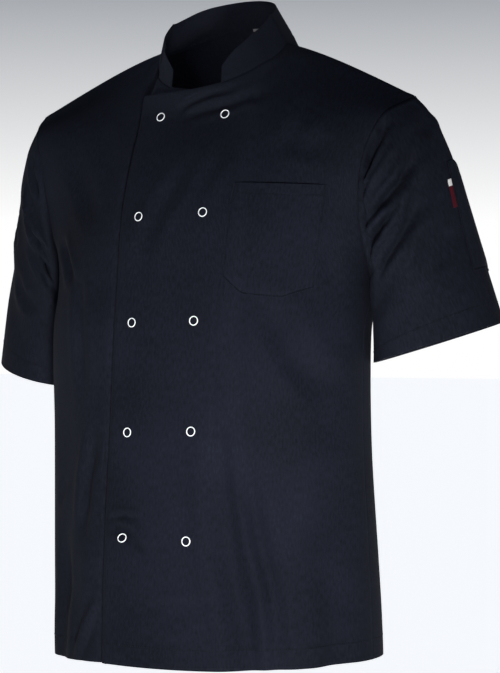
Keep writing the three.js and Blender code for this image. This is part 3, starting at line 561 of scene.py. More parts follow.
def collar_grid():
    stand = np.array(COLLAR_STAND)
    knots = np.interp(COLLAR_AT, stand[:, 0], np.arange(len(stand)))
    height, lean = spline(stand * [1, 1, 20], knots)[:, 1:].T / [[1], [20]]
    radial = unit(np.stack([-neck_seam[:, 0], NECK["centre_y"] - neck_seam[:, 1], 0 * neck_seam[:, 0]], -1))
    rise = unit(np.array([0, 0, 1]) + radial * lean[:, None])
    return neck_seam + rise * (height * COLLAR_ROWS_AT[:, None])[..., None]


collar = collar_grid()

# Normals, shared at the seams so that the cloth's faces meet there.
N = {
    "front_left": normals_of(outer_front, 1),
    "front_right": normals_of(under_front, -1),
    "back": normals_of(back_panel, -1),
    "sleeve_left": normals_of(sleeve_left, -1, ring=True),
    "sleeve_right": normals_of(sleeve_right, 1, ring=True),
    "collar": normals_of(collar, -1),
}
for name, way in (("front_left", 1), ("front_right", -1)):
    side = -1 if way > 0 else 0
    seam = unit(N[name][: ARM_FROM + 1, -1] + N["back"][: ARM_FROM + 1, side])
    N[name][: ARM_FROM + 1, -1] = N["back"][: ARM_FROM + 1, side] = seam
    back_shoulder = np.nonzero(BACK_AT * way >= BACK_NECK_COLUMNS / 2)[0][::way]
    seam = unit(N[name][-1, neck_to:] + N["back"][-1, back_shoulder])
    N[name][-1, neck_to:] = seam
    N["back"][-1, back_shoulder] = seam

# Pieces


def outer_face(grid, normals, lift=CLOTH / 2):
    return grid + normals * (lift if np.isscalar(lift) else lift[..., None])


def add_border(face, normals, profile, at_end, axis):
    """Carries a grid on past one of its borders. Each profile entry is (line, out, up): the grid's line
    counted from the border, how far it lies beyond the border, and how far above the face."""
    face, normals = (np.moveaxis(g, axis, 0) for g in (face, normals))
    if at_end:
        face, normals = face[::-1], normals[::-1]
    way = unit(face[0] - face[1])
    shift, *rest = profile
    lines = [
        face[k] + way * np.asarray(d)[..., None] + normals[k] * np.asarray(h)[..., None] for k, d, h in rest
    ]
    moved = face[:1] + (way * np.asarray(shift)[..., None])[None]
    face = np.concatenate([np.array(lines[::-1]), moved, face[1:]])
    normals = np.concatenate([np.repeat(normals[:1], len(lines), 0), normals])
    if at_end:
        face, normals = face[::-1], normals[::-1]
    return np.moveaxis(face, 0, axis), np.moveaxis(normals, 0, axis)


def sheet_mesh(name, face, facing, ring=False):
    """One layer of cloth through a grid of points, with a UV map of its real lengths in metres."""
    if ring:
        face = np.concatenate([face, face[:, :1]], 1)
    rows, columns = face.shape[:2]
    bm = bmesh.new()
    layer = bm.loops.layers.uv.new("UVMap")
    bmesh.ops.create_grid(bm, x_segments=columns - 1, y_segments=rows - 1, size=1, calc_uvs=True)
    bm.verts.ensure_lookup_table()
    across = np.linalg.norm(np.diff(face, axis=1), axis=-1).mean(0)
    up = np.linalg.norm(np.diff(face, axis=0), axis=-1).mean(1)
    u = np.concatenate([[0], np.cumsum(across)]) * MM
    v = np.concatenate([[0], np.cumsum(up)]) * MM
    for f in bm.faces:
        for loop in f.loops:
            i, j = divmod(loop.vert.index, columns)
            loop[layer].uv = (u[j], v[i])
    for vert, place in zip(bm.verts, face.reshape(-1, 3) * MM):
        vert.co = place
    if facing < 0:
        bmesh.ops.reverse_faces(bm, faces=bm.faces[:])
    if ring:
        bm.verts.ensure_lookup_table()
        ends = [bm.verts[i * columns + j] for i in range(rows) for j in (0, columns - 1)]
        bmesh.ops.remove_doubles(bm, verts=ends, dist=1e-6)
    for f in bm.faces:
        f.smooth = True
    return finished(name, bm)


def finished(name, bm):
    mesh = bpy.data.meshes.new(name)
    bm.to_mesh(mesh)
    bm.free()
    piece = bpy.data.objects.new(name, mesh)
    bpy.context.scene.collection.objects.link(piece)
    return piece


def walled(piece, wall, rounded=0):
    """Gives a sheet its thickness to the inside, and a rounded rim where it is thick."""
    solid = piece.modifiers.new("wall", "SOLIDIFY")
    solid.thickness = wall * MM
    solid.offset = -1
    if rounded:
        rim = piece.modifiers.new("rim", "BEVEL")
        rim.width = rounded * MM
        rim.segments = 2
        rim.limit_method = "ANGLE"
        rim.angle_limit = math.radians(60)
    return piece


def sewn_on(piece, look, slot, *nodes):
    piece.data.materials.append(look)
    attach(piece, "root")
    if nodes:
        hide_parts(*nodes)
    return piece


def stitches(name, runs, pitch=3.1, long=2.6, thick=0.75, sunk=0.08):
    """Topstitching: one thread segment for each stitch along each run of (points, normals)."""
    bm = bmesh.new()
    for points, normals in runs:
        lengths = np.linalg.norm(np.diff(points, axis=0), axis=1)
        along = np.concatenate([[0], np.cumsum(lengths)])
        for s in np.arange(pitch / 2, along[-1] - pitch / 3, pitch):
            place, normal, ahead = (
                np.array([np.interp(at, along, g[:, k]) for k in range(3)])
                for at, g in ((s, points), (s, normals), (s + 0.5, points))
            )
            tangent = Vector(ahead - place).normalized()
            up = Vector(normal).normalized()
            side = up.cross(tangent).normalized()
            turn = Matrix((tangent, side, side.cross(tangent) * -1)).transposed().to_4x4()
            size = Matrix.Diagonal((long / 2 * MM, thick / 2 * MM, thick / 2.6 * MM, 1))
            spot = Matrix.Translation(Vector(place) * MM + up * sunk * MM)
            bmesh.ops.create_icosphere(bm, subdivisions=1, radius=1, matrix=spot @ turn @ size)
    for f in bm.faces:
        f.smooth = True
    return finished(name, bm)


# Borders. A folded edge turns back inside as far as a given line; a seam turns in and stands as a fin.


def folded(lines, fold=1.3):
    around = [(0, 0.3, -0.12), (0, 0.45, -0.5 * fold), (0, 0.3, -fold + 0.12)]
    return [0.0] + around + [(k, 0.0, -fold) for k in lines]


def seam_border(gap, fin, count):
    """A seam's turned-in edge, of the same number of lines whatever it borders on."""
    steps = [(0, -gap - 0.2, -0.22)] + [(0, -gap, -np.minimum(0.7, fin))]
    steps += [(0, -gap, -fin * k / (count - 2)) for k in range(1, count - 1)]
    return [-gap - 0.8] + steps


def mixed(one, other, mask):
    """Two border profiles of the same length, the one where the mask is 1 and the other where it is 0."""
    first, *ones = one
    second, *others = other
    profile = [lerp(second, first, mask)]
    for (k, d, h), (_, e, g) in zip(ones, others):
        profile.append((k, lerp(e, d, mask), lerp(g, h, mask)))
    return profile


HEM_FOLD = folded(range(1, 9))
CUFF_FOLD = folded(range(1, 11))
SEAM_LINES = 5  # the lines of a neck or shoulder seam's border
EDGE_ROWS = np.concatenate([np.zeros(len(HEM_FOLD) - 1), BODY_ROWS, np.full(SEAM_LINES, BODY_ROWS[-1])])
# Half the space between the edges of two panels: along a seam, at the neck, and low on the sides.
SEAM_GAP, NECK_GAP, LOW_SIDE_GAP = 0.12, 0.35, -0.06
NECK_FIN = 1.0


def fin(at, start, end):
    """How deep a seam's two edges go in as a fin, away from both ends of the seam."""
    return 0.9 + 5 * smooth(at, *start) * (1 - smooth(at, *end))


side_fin = fin(BODY_ROWS, (0.7, 1.5), (11, 12))
side_gap = np.where(BODY_ROWS < 1, LOW_SIDE_GAP, SEAM_GAP)


def side_border():
    gap, depth = (np.interp(EDGE_ROWS, BODY_ROWS, way) for way in (side_gap, side_fin))
    return seam_border(gap, depth, SEAM_LINES - 1)


def top_border(at, on_neck, start, end):
    gap = np.where(on_neck, NECK_GAP, SEAM_GAP)
    return seam_border(gap, np.where(on_neck, NECK_FIN, fin(at, start, end)), SEAM_LINES)


def front_piece(name, grid, facing):
    at = FRONT_AT
    on_neck = (at > LAP_COLUMNS) & (at < LAP_COLUMNS + NECK_COLUMNS)
    free = (at <= LAP_COLUMNS).astype(float)
    top = mixed(folded([1, 1]), top_border(at, on_neck, (12.2, 13), (19, 19.8)), free)
    face, normals = add_border(outer_face(grid, N[name]), N[name], top, True, 0)
    face, normals = add_border(face, normals, HEM_FOLD, False, 0)
    face, normals = add_border(face, normals, side_border(), True, 1)
    face, normals = add_border(face, normals, folded([1, 2, 3, 4], 1.25), False, 1)
    return walled(sheet_mesh(name + "_cloth", face, facing), THREAD_WALL)


def back_piece():
    side = np.abs(BACK_AT)
    top = top_border(side, side < BACK_NECK_COLUMNS / 2, (6.2, 7), (13, 13.8))
    face, normals = add_border(outer_face(back_panel, N["back"]), N["back"], top, True, 0)
    face, normals = add_border(face, normals, HEM_FOLD, False, 0)
    for at_end in (True, False):
        face, normals = add_border(face, normals, side_border(), at_end, 1)
    return walled(sheet_mesh("back_cloth", face, -1), THREAD_WALL)


def armhole_frame(grid, name, side):
    """The body's points, normals and ways inward along the cloth round an armhole."""
    def edge(g, column):
        step = g[:, column] - g[:, 1 if column == 0 else -2]
        return g[ARM_FROM:, column], unit(step)[ARM_FROM:]

    back_column = -1 if side > 0 else 0
    front_points, front_way = edge(grid, -1)
    back_points, back_way = edge(back_panel, back_column)
    points = np.concatenate([front_points, back_points[1:-1][::-1]])
    ways = np.concatenate([front_way, back_way[1:-1][::-1]])
    normals = np.concatenate([N[name][ARM_FROM:, -1], N["back"][ARM_FROM:, back_column][1:-1][::-1]])
    ways = unit(ways + np.roll(ways, 1, 0) + np.roll(ways, -1, 0))
    return points, unit(normals), ways


# A sleeve's edge at the armhole, from inside the seam outwards: how far along the body's cloth, and above it.
ARMHOLE_TUCK = [(-4.5, -0.75), (-1.2, -0.75), (0.55, -0.6), (0.75, 0.25)]


def sleeve_piece(name, grid, front, front_name, side):
    points, normals, ways = armhole_frame(front, front_name, side)
    face = outer_face(grid, N[name])
    tucked = np.array([points + ways * d + normals * (CLOTH / 2 + h) for d, h in ARMHOLE_TUCK])
    face = np.concatenate([tucked, face[1:]])
    all_normals = np.concatenate([np.repeat(N[name][:1], len(tucked), 0), N[name][1:]])
    face, _ = add_border(face, all_normals, CUFF_FOLD, True, 0)
    return walled(sheet_mesh(name + "_cloth", face, -side, ring=True), THREAD_WALL)


def collar_piece():
    grid, normals = collar, N["collar"]
    lift = CLOTH / 2 * lerp(0.4, 1, smooth(COLLAR_ROWS_AT, 0, 0.15))
    face = outer_face(grid, normals, np.broadcast_to(lift[:, None], grid.shape[:2]).copy())
    face, normals = add_border(face, normals, [0.0, (0, 1.4, -0.9), (0, 3.5, -1.3)], False, 0)
    return walled(sheet_mesh("collar_cloth", face, -1), COLLAR_WALL, 0.45)


def sample(grid, r, c):
    i = np.clip(r.astype(int), 0, grid.shape[0] - 2)
    j = np.clip(c.astype(int), 0, grid.shape[1] - 2)
    v, u = (r - i)[..., None], (c - j)[..., None]
    return lerp(lerp(grid[i, j], grid[i, j + 1], u), lerp(grid[i + 1, j], grid[i + 1, j + 1], u), v)


def locate(grid, x, z):
    """Row and column numbers of a front's grid at which it has a given x and z, found step by step."""
    r = np.full(np.shape(x), grid.shape[0] / 2.0)
    c = np.full(np.shape(x), grid.shape[1] / 2.0)
    probe, longest = 0.05, 6
    for _ in range(60):
        here, right, above = sample(grid, r, c), sample(grid, r, c + probe), sample(grid, r + probe, c)
        step_c = np.clip((x - here[..., 0]) * probe / (right - here)[..., 0], -longest, longest)
        step_r = np.clip((z - here[..., 2]) * probe / (above - here)[..., 2], -longest, longest)
        c = np.clip(c + step_c, 0, grid.shape[1] - 1.1)
        r = np.clip(r + step_r, 0, grid.shape[0] - 1.1)
    return r, c


def on_front(x, z, lift):
    """Points over the left front's outer face at a given x and z, and the face's normals there."""
    face = outer_face(outer_front, N["front_left"])
    r, c = locate(face, x, z)
    normals = unit(sample(N["front_left"], r, c))
    return sample(face, r, c) + normals * np.asarray(lift)[..., None], normals


EDGE_STITCH, MOUTH_HEM = 2, 12  # from a pocket's edge and from its mouth to the stitch line there
NEAR_EDGE = [0, 0.5, 1.2, 2.0, 2.8, 4.5]
NEAR_MOUTH = [0, 0.4, 1, 2, 4, 8, 11.2, 12, 12.8, 14.5]
CHEST_POCKET_SIZE, SLEEVE_POCKET_SIZE = (97, 122), (70, 122)
POCKET_EDGE = [0.0, (0, 0.18, -0.15), (0, 0.22, -0.65)]  # carries an edge down to the cloth under it
POCKETS = {}  # each pocket's face, normals and rows' shares, for its stitching


def patch_lift(across, down, size):
    """A patch lies flat where it is stitched at its edge, and stands off a little between and at its mouth.
    across and down are shares of its size, down from its mouth."""
    from_mouth = down * size[1] + 0 * across
    from_edge = np.minimum(np.minimum(across, 1 - across) * size[0], (1 - down) * size[1])
    lift = 1.3 + 0.7 * smooth(from_edge, 1.5, 14)
    lift = lift + 0.25 * smooth(18 - from_mouth, 0, 18) * smooth(from_edge, 2, 20)
    edge_groove = np.exp(-((from_edge - EDGE_STITCH) ** 2))
    mouth_groove = np.exp(-(((from_mouth - MOUTH_HEM) / 0.9) ** 2))
    return lift - 0.8 * edge_groove - 0.12 * mouth_groove


def edge_spaced(length, steps, far=NEAR_EDGE):
    """Shares of a length with lines close together at both ends."""
    near, far = np.array(NEAR_EDGE) / length, 1 - np.array(far[::-1]) / length
    return np.concatenate([near, np.linspace(near[-1], far[0], steps)[1:-1], far])


def pocket_cloth(name, face, normals, up, facing):
    """A pocket's cloth: the grid of its face, with its edges carried down to the cloth that it is sewn to."""
    POCKETS[name] = face, normals, up
    for axis in (0, 1):
        for at_end in (True, False):
            face, normals = add_border(face, normals, POCKET_EDGE, at_end, axis)
    return walled(sheet_mesh(name + "_cloth", face, facing), POCKET_WALL)


def chest_pocket_piece():
    across = edge_spaced(CHEST_POCKET_SIZE[0], 22)
    up = edge_spaced(CHEST_POCKET_SIZE[1], 26, NEAR_MOUTH)
    p, sides = CHEST_POCKET, POCKET_SIDES
    width = sides["outer_foot"] - sides["inner_foot"]
    cuts = [
        np.maximum(0, 1 - width * way / p[cut][0]) * p[cut][1]
        for way, cut in ((across, "inner_cut"), (1 - across, "outer_cut"))
    ]
    foot = p["foot"] - p["drop"] * across + np.maximum(*cuts)
    inner = lerp(sides["inner_foot"], sides["inner_top"], up)[:, None]
    outer = lerp(sides["outer_foot"], sides["outer_top"], up)[:, None]
    x = lerp(inner, outer, across[None])
    z = lerp(foot[None], p["top"] - p["fall"] * across[None], up[:, None])
    face, normals = on_front(x, z, patch_lift(across[None], 1 - up[:, None], (width, CHEST_POCKET_SIZE[1])))
    return pocket_cloth("chest_pocket", face, normals, up, 1)


def sleeve_patch(place, lift, counts):
    """A patch on the left sleeve, between turns round it and shares of its length."""
    grid = np.concatenate([sleeve_left, sleeve_left[:, :1]], 1)
    normals = np.concatenate([N["sleeve_left"], N["sleeve_left"][:, :1]], 1)
    turns = np.concatenate([RING_AT / ALL_ROWS, [1.0]])
    front, rear = (lerp(*place[edge], counts[0])[:, None] for edge in ("front", "rear"))
    c = np.interp(lerp(front, rear, counts[1][None]), turns, np.arange(len(turns)))
    along = lerp(place["top"], place["bottom"], counts[0])
    rows = np.interp(along, SLEEVE_AT / SLEEVE_ROWS, np.arange(len(SLEEVE_AT)))
    r = np.broadcast_to(rows[:, None], c.shape)
    out = unit(sample(normals, r, c))
    face = sample(grid, r, c) + out * (CLOTH / 2 + lift)[..., None]
    return face, out


def sleeve_pocket_piece():
    across = edge_spaced(SLEEVE_POCKET_SIZE[0], 16)
    down = 1 - edge_spaced(SLEEVE_POCKET_SIZE[1], 26, NEAR_MOUTH)[::-1]
    lift = patch_lift(across[None], down[:, None], SLEEVE_POCKET_SIZE)
    face, normals = sleeve_patch(SLEEVE_POCKET, lift, (down, across))
    return pocket_cloth("sleeve_pocket", face, normals, down, -1)


def sleeve_tab_piece():
    across, up = np.linspace(0, 1, 7), np.linspace(0, 1, 22)
    lift = 0.7 + 0.5 * np.sin(np.pi * across)[None] + 0 * up[:, None]
    face, _ = sleeve_patch(SLEEVE_TAB, lift, (up, across))
    return walled(sheet_mesh("sleeve_tab_tape", face, -1), TAB_WALL, 0.2)


def neck_label_piece():
    grid, normals = back_panel, N["back"]
    rows = ALL_ROWS + np.linspace(NECK_LABEL["low"], NECK_LABEL["high"], 12)
    columns = np.linspace(-NECK_LABEL["half"], NECK_LABEL["half"], 16)
    row_at = np.interp(rows, BODY_ROWS, np.arange(len(BODY_ROWS)))
    column_at = np.interp(columns, BACK_AT, np.arange(len(BACK_AT)))
    r, c = np.broadcast_arrays(row_at[:, None], column_at[None])
    face = sample(grid, r, c) + unit(sample(normals, r, c)) * (CLOTH / 2 - THREAD_WALL - 0.9)
    return walled(sheet_mesh("neck_label_tape", face, 1), LABEL_WALL, 0.12)


def snap_piece(name, x, z):
    """An open-ring press stud: an enamelled ring, and the cloth that it draws up in its middle."""
    point, normal = on_front(np.array([x]), np.array([z]), np.array([0.0]))
    middle, round_ = (SNAP["outer"] + SNAP["inner"]) / 2, (SNAP["outer"] - SNAP["inner"]) / 2
    bm = bmesh.new()
    bmesh.ops.create_circle(bm, segments=12, radius=1)
    ring_size = Matrix.Diagonal((round_, SNAP["height"] / 2, 1, 1))
    stand = Matrix.Rotation(math.radians(90), 4, "X")
    ring_place = Matrix.Translation((middle, 0, SNAP["height"] / 2))
    bmesh.ops.transform(bm, matrix=ring_place @ stand @ ring_size, verts=bm.verts)
    bmesh.ops.spin(
        bm, geom=bm.edges[:], cent=(0, 0, 0), axis=(0, 0, 1), angle=2 * math.pi, steps=48, use_merge=True
    )
    bmesh.ops.recalc_face_normals(bm, faces=bm.faces[:])
    for f in bm.faces:
        f.smooth = True
    dome = bmesh.ops.create_uvsphere(bm, u_segments=28, v_segments=12, radius=1)
    dome_size = Matrix.Diagonal((SNAP["inner"] + 0.25, SNAP["inner"] + 0.25, 0.85, 1))
    bmesh.ops.transform(bm, matrix=Matrix.Translation((0, 0, -0.15)) @ dome_size, verts=dome["verts"])
    for f in {f for v in dome["verts"] for f in v.link_faces}:
        f.smooth = True
        f.material_index = 1
    turn = Vector((0, 0, 1)).rotation_difference(Vector(normal[0])).to_matrix().to_4x4()
    spot = Matrix.Translation(Vector(point[0]) * MM)
    lift = Matrix.Translation((0, 0, SNAP["seat"]))
    bmesh.ops.transform(bm, matrix=spot @ turn @ Matrix.Scale(MM, 4) @ lift, verts=bm.verts)
    return finished(name, bm)


# Looks


def linear(hex_colour):
    """An sRGB hex colour as linear RGBA."""
    parts = [int(hex_colour[i : i + 2], 16) / 255 for i in (1, 3, 5)]
    return (*[c / 12.92 if c <= 0.04045 else ((c + 0.055) / 1.055) ** 2.4 for c in parts], 1.0)


def node(tree, kind, links=(), **settings):
    """Adds a node: settings are its own properties or, by name or number, its sockets' values."""
    made = tree.nodes.new(kind)
    for key, value in settings.items():
        if key == "sockets":
            for socket, number in value.items():
                made.inputs[socket].default_value = number
        else:
            setattr(made, key, value)
    for source, socket in links:
        tree.links.new(source, made.inputs[socket])
    return made


def new_look(name):
    look = bpy.data.materials.new(name)
    look.use_nodes = True
    tree = look.node_tree
    return look, tree, tree.nodes["Principled BSDF"]


WAVE = 0.314  # a wave texture's scale for waves 1 m apart, so that it is divided by their real distance


def twill_look(name, deep, pale):
    """Poly-cotton twill, woven black and washed: matt, with a soft nap that pales it at grazing angles.
    Its diagonal ribs are 1.1 mm apart here, because the real 0.5 mm ones are too fine to show."""
    look, tree, shader = new_look(name)
    uv = node(tree, "ShaderNodeTexCoord")
    turn = (0, 0, math.radians(63))
    place = node(tree, "ShaderNodeMapping", [(uv.outputs["UV"], "Vector")], sockets={"Rotation": turn})
    rib = node(
        tree, "ShaderNodeTexWave", [(place.outputs[0], "Vector")],
        wave_profile="SIN",
        sockets={"Scale": WAVE / 0.0011, "Distortion": 0.6, "Detail": 1.0, "Detail Scale": 40.0},
    )
    # The yarn's slubs are some 2 mm wide and three times that along the warp; the washed patches some 10 cm.
    warp = node(tree, "ShaderNodeMapping", [(uv.outputs["UV"], "Vector")], sockets={"Scale": (1.0, 0.3, 1.0)})
    yarn = node(
        tree, "ShaderNodeTexNoise", [(warp.outputs[0], "Vector")],
        sockets={"Scale": 440.0, "Detail": 5.0, "Roughness": 0.7},
    )
    wear = node(
        tree, "ShaderNodeTexNoise", [(uv.outputs["Object"], "Vector")],
        sockets={"Scale": 9.0, "Detail": 5.0, "Roughness": 0.5},
    )
    mottle = node(
        tree, "ShaderNodeMath", [(wear.outputs[0], 0), (yarn.outputs[0], 2)],
        operation="MULTIPLY_ADD", sockets={1: 0.5},
    )
    tint = node(tree, "ShaderNodeValToRGB", [(mottle.outputs[0], "Fac")])
    tint.color_ramp.elements[0].position, tint.color_ramp.elements[0].color = 0.5, linear(deep)
    tint.color_ramp.elements[1].position, tint.color_ramp.elements[1].color = 1.0, linear(pale)
    tree.links.new(tint.outputs[0], shader.inputs["Base Color"])
    relief = node(tree, "ShaderNodeMath", [(rib.outputs["Fac"], 0), (yarn.outputs[0], 1)], operation="ADD")
    depth = {"Strength": 0.35, "Distance": 0.0002}
    bump = node(tree, "ShaderNodeBump", [(relief.outputs[0], "Height")], sockets=depth)
    tree.links.new(bump.outputs[0], shader.inputs["Normal"])
    span = {"To Min": 0.72, "To Max": 0.86}
    gloss = node(tree, "ShaderNodeMapRange", [(wear.outputs[0], "Value")], sockets=span)
    tree.links.new(gloss.outputs[0], shader.inputs["Roughness"])
    shader.inputs["Sheen Weight"].default_value = 0.01
    shader.inputs["Sheen Roughness"].default_value = 0.45
    shader.inputs["Sheen Tint"].default_value = linear("#c9cddb")
    shader.inputs["Specular IOR Level"].default_value = 0.04
    return look


def thread_and_shadow_look():
    """Black spun polyester sewing thread, a little smoother than the twill it draws in, and made darker than
    it as painted shade: its stitches also stand for the thin shadow lines along the pockets' edges and the
    hems.
    """
    look, tree, shader = new_look("polyester_thread_painted_shade")
    at = node(tree, "ShaderNodeTexCoord")
    fine = {"Scale": 1500.0, "Detail": 2.0}
    twist = node(tree, "ShaderNodeTexNoise", [(at.outputs["Object"], "Vector")], sockets=fine)
    tint = node(tree, "ShaderNodeValToRGB", [(twist.outputs[0], "Fac")])
    # Near-black: partly the thread's own black, partly painted shade for the shadow in the stitch grooves.
    tint.color_ramp.elements[0].color = linear("#020203")
    tint.color_ramp.elements[1].color = linear("#06070a")
    tree.links.new(tint.outputs[0], shader.inputs["Base Color"])
    shader.inputs["Roughness"].default_value = 0.6
    shader.inputs["Specular IOR Level"].default_value = 0.1
    return look


def enamel_look():
    """White enamel over a stamped brass ring: smooth and glossy, worn a little greyer in places."""
    look, tree, shader = new_look("white_enamel")
    at = node(tree, "ShaderNodeTexCoord")
    fine = {"Scale": 420.0, "Detail": 4.0}
    wear = node(tree, "ShaderNodeTexNoise", [(at.outputs["Object"], "Vector")], sockets=fine)
    tint = node(tree, "ShaderNodeValToRGB", [(wear.outputs[0], "Fac")])
    tint.color_ramp.elements[0].position, tint.color_ramp.elements[0].color = 0.3, linear("#d6d7da")
    tint.color_ramp.elements[1].position, tint.color_ramp.elements[1].color = 0.55, linear("#f4f4f3")
    tree.links.new(tint.outputs[0], shader.inputs["Base Color"])
    depth = {"Strength": 0.1, "Distance": 0.0001}
    bump = node(tree, "ShaderNodeBump", [(wear.outputs[0], "Height")], sockets=depth)
    tree.links.new(bump.outputs[0], shader.inputs["Normal"])
    shader.inputs["Roughness"].default_value = 0.28
    return look


def tape_look(name, base, thread, end=None):
    """Woven polyester tape: fine ribs 0.7 mm apart across it, a little shiny."""
    look, tree, shader = new_look(name)
    uv = node(tree, "ShaderNodeTexCoord")
    rib = node(
        tree, "ShaderNodeTexWave", [(uv.outputs["UV"], "Vector")],
        bands_direction="Y", sockets={"Scale": WAVE / 0.0007, "Distortion": 0.4},
    )
    tint = node(tree, "ShaderNodeValToRGB", [(rib.outputs["Fac"], "Fac")])
    tint.color_ramp.elements[0].color, tint.color_ramp.elements[1].color = linear(base), linear(thread)
    colour = tint.outputs[0]
    if end:
        split = node(tree, "ShaderNodeSeparateXYZ", [(uv.outputs["UV"], 0)])
        where = {"From Min": 0.0075, "From Max": 0.0082}  # metres up the tape, where its pale end begins
        share = node(tree, "ShaderNodeMapRange", [(split.outputs["Y"], "Value")], sockets=where)
        mix = node(tree, "ShaderNodeMix", [(share.outputs[0], 0), (colour, 7)], data_type="RGBA")
        mix.inputs[6].default_value = linear(end)
        colour = mix.outputs[2]
    tree.links.new(colour, shader.inputs["Base Color"])
    depth = {"Strength": 0.3, "Distance": 0.0001}
    bump = node(tree, "ShaderNodeBump", [(rib.outputs["Fac"], "Height")], sockets=depth)
    tree.links.new(bump.outputs[0], shader.inputs["Normal"])
    shader.inputs["Roughness"].default_value = 0.6
    shader.inputs["Specular IOR Level"].default_value = 0.1
    return look


twill = twill_look("black_twill", "#0b0d12", "#1b1d27")
thread = thread_and_shadow_look()
enamel = enamel_look()
red_tape = tape_look("red_woven_tape", "#2e070f", "#4a0f1b", end="#cfccc8")
pale_tape = tape_look("pale_woven_label", "#a5a09c", "#c4bfba")

front_left = sewn_on(front_piece("front_left", outer_front, 1), twill, "twill", "front_left")
front_right = sewn_on(front_piece("front_right", under_front, -1), twill, "twill", "front_right")
back = sewn_on(back_piece(), twill, "twill", "back")
left_sleeve = sleeve_piece("sleeve_left", sleeve_left, outer_front, "front_left", 1)
left_sleeve = sewn_on(left_sleeve, twill, "twill", "sleeve_left")
right_sleeve = sleeve_piece("sleeve_right", sleeve_right, under_front, "front_right", -1)
right_sleeve = sewn_on(right_sleeve, twill, "twill", "sleeve_right")
stand = sewn_on(collar_piece(), twill, "twill", "collar")
chest_pocket = sewn_on(chest_pocket_piece(), twill, "twill", "chest_pocket")
sleeve_pocket = sewn_on(sleeve_pocket_piece(), twill, "twill", "sleeve_pocket")
tab = sewn_on(sleeve_tab_piece(), red_tape, "tab_tape", "sleeve_tab")
label = sewn_on(neck_label_piece(), pale_tape, "label_tape", "neck_label")
for n, z in enumerate(SNAP_ROWS_Z, 1):
    for side, way, (off_x, off_z) in zip(("right", "left"), (-1, 1), SNAP_OFF[n - 1]):
        snap = snap_piece("press_stud_%s_%d" % (side, n), way * SNAP["apart"] / 2 + off_x, z + off_z)
        sewn_on(snap, enamel, "snap_ring", "snap_%s_%d" % (side, n))
        snap.data.materials.append(twill)


def row_line(name, grid, row):
    """A row of a panel's outer face, and its normals."""
    return outer_face(grid, N[name])[row], N[name][row]


def cuff_line(name, grid):
    return tuple(np.concatenate([line, line[:1]]) for line in row_line(name, grid, CUFF_ROW))


def pocket_lines(name, foot, mouth):
    """A pocket's stitch lines: both sides, the foot and the mouth's hem. foot is the row of its foot."""
    face, normals, rows = POCKETS[name]
    order = slice(3, None) if foot > 0 else slice(-4, None, -1)
    mouth_row = int(np.argmin(abs(rows - mouth)))
    parts = [(order, 3), (order, -4), (foot, slice(3, -3)), (mouth_row, slice(2, -2))]
    return [(face[part], normals[part]) for part in parts]


HEM_ROW = 8  # the row of BODY_ROWS at HEM
CUFF_ROW = -11  # the row of SLEEVE_AT at CUFF_HEM
MOUTH_SHARE = MOUTH_HEM / CHEST_POCKET_SIZE[1]
SEWING = {
    "stitching_front_left": [row_line("front_left", outer_front, HEM_ROW)],
    "stitching_front_right": [row_line("front_right", under_front, HEM_ROW)],
    "stitching_back": [row_line("back", back_panel, HEM_ROW)],
    "stitching_sleeve_left": [cuff_line("sleeve_left", sleeve_left)],
    "stitching_sleeve_right": [cuff_line("sleeve_right", sleeve_right)],
    "stitching_pockets": [
        *pocket_lines("chest_pocket", 3, 1 - MOUTH_SHARE), *pocket_lines("sleeve_pocket", -4, MOUTH_SHARE),
    ],
}
sewing = {name: sewn_on(stitches(name, runs), thread, "twill") for name, runs in SEWING.items()}

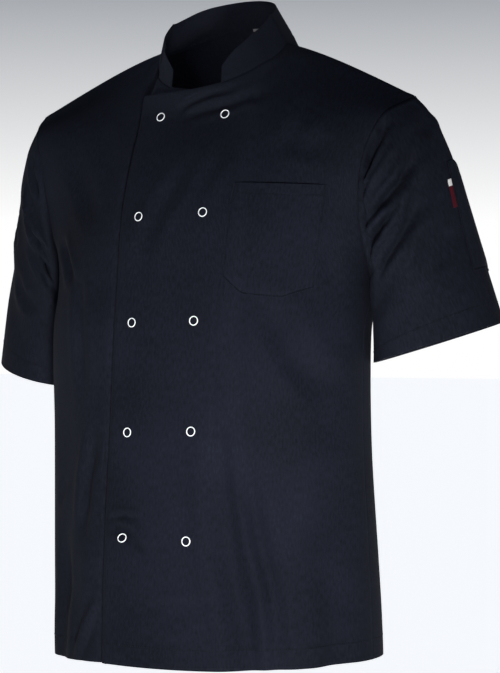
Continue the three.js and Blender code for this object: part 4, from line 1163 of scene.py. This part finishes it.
# The stage: a plain pale floor, soft studio light and the photograph's view, in metres.
FLOOR_Z = -1.0
VIEW_AT, VIEW_FROM, VIEW_FAR, LENS = (0.0394, 0.0218, -0.3485), 29, 2.65, 121.2
bm = bmesh.new()
bmesh.ops.create_grid(bm, x_segments=1, y_segments=1, size=30)
bmesh.ops.translate(bm, vec=(0, 0, FLOOR_Z), verts=bm.verts)
floor = finished("floor", bm)
paper, _, paper_shader = new_look("pale_paper")
paper_shader.inputs["Base Color"].default_value = linear("#f6f6f6")
paper_shader.inputs["Roughness"].default_value = 0.9
paper_shader.inputs["Emission Color"].default_value = linear("#ffffff")
paper_shader.inputs["Emission Strength"].default_value = 0.85
floor.data.materials.append(paper)

world = bpy.data.worlds.new("studio")
world.use_nodes = True
# A studio with a white wall all round it, up to a height, and a dim bluish ceiling.
sky = world.node_tree
heading = node(sky, "ShaderNodeTexCoord")
height = node(sky, "ShaderNodeSeparateXYZ", [(heading.outputs["Generated"], 0)])
wall = node(sky, "ShaderNodeValToRGB", [(height.outputs["Z"], "Fac")])
wall.color_ramp.elements[0].position, wall.color_ramp.elements[0].color = 0.05, linear("#ffffff")
wall.color_ramp.elements[1].position, wall.color_ramp.elements[1].color = 0.2, (0.05, 0.075, 0.12, 1)
sky.links.new(wall.outputs[0], sky.nodes["Background"].inputs["Color"])
bpy.context.scene.world = world
bpy.context.scene.view_settings.view_transform = "Standard"


def light(name, place, target, size, watts, spread):
    lamp = bpy.data.lights.new(name, "AREA")
    lamp.shape, lamp.size, lamp.energy, lamp.spread = "DISK", size, watts, math.radians(spread)
    holder = bpy.data.objects.new(name, lamp)
    holder.location = place
    holder.rotation_mode = "QUATERNION"
    holder.rotation_quaternion = (Vector(target) - Vector(place)).to_track_quat("-Z", "Y")
    bpy.context.scene.collection.objects.link(holder)


light("key", (0.8, -1.27, -0.93), (0, 0, -0.47), 0.3, 3.6, 52)
light("back", (-0.5, 1.6, -0.8), (0, 0, -0.4), 0.5, 2.6, 54)
light("neck", (0.3, -2, 0.8), (-0.03, 0.11, -0.03), 0.12, 0.05, 8)

lens = bpy.data.cameras.new("camera")
lens.lens = LENS
lens.clip_start, lens.clip_end = 0.05, 100
camera = bpy.data.objects.new("camera", lens)
look_along = Vector((-math.sin(math.radians(VIEW_FROM)), math.cos(math.radians(VIEW_FROM)), 0))
camera.location = Vector(VIEW_AT) - look_along * VIEW_FAR
camera.rotation_mode = "QUATERNION"
camera.rotation_quaternion = look_along.to_track_quat("-Z", "Y")
bpy.context.scene.collection.objects.link(camera)
bpy.context.scene.camera = camera
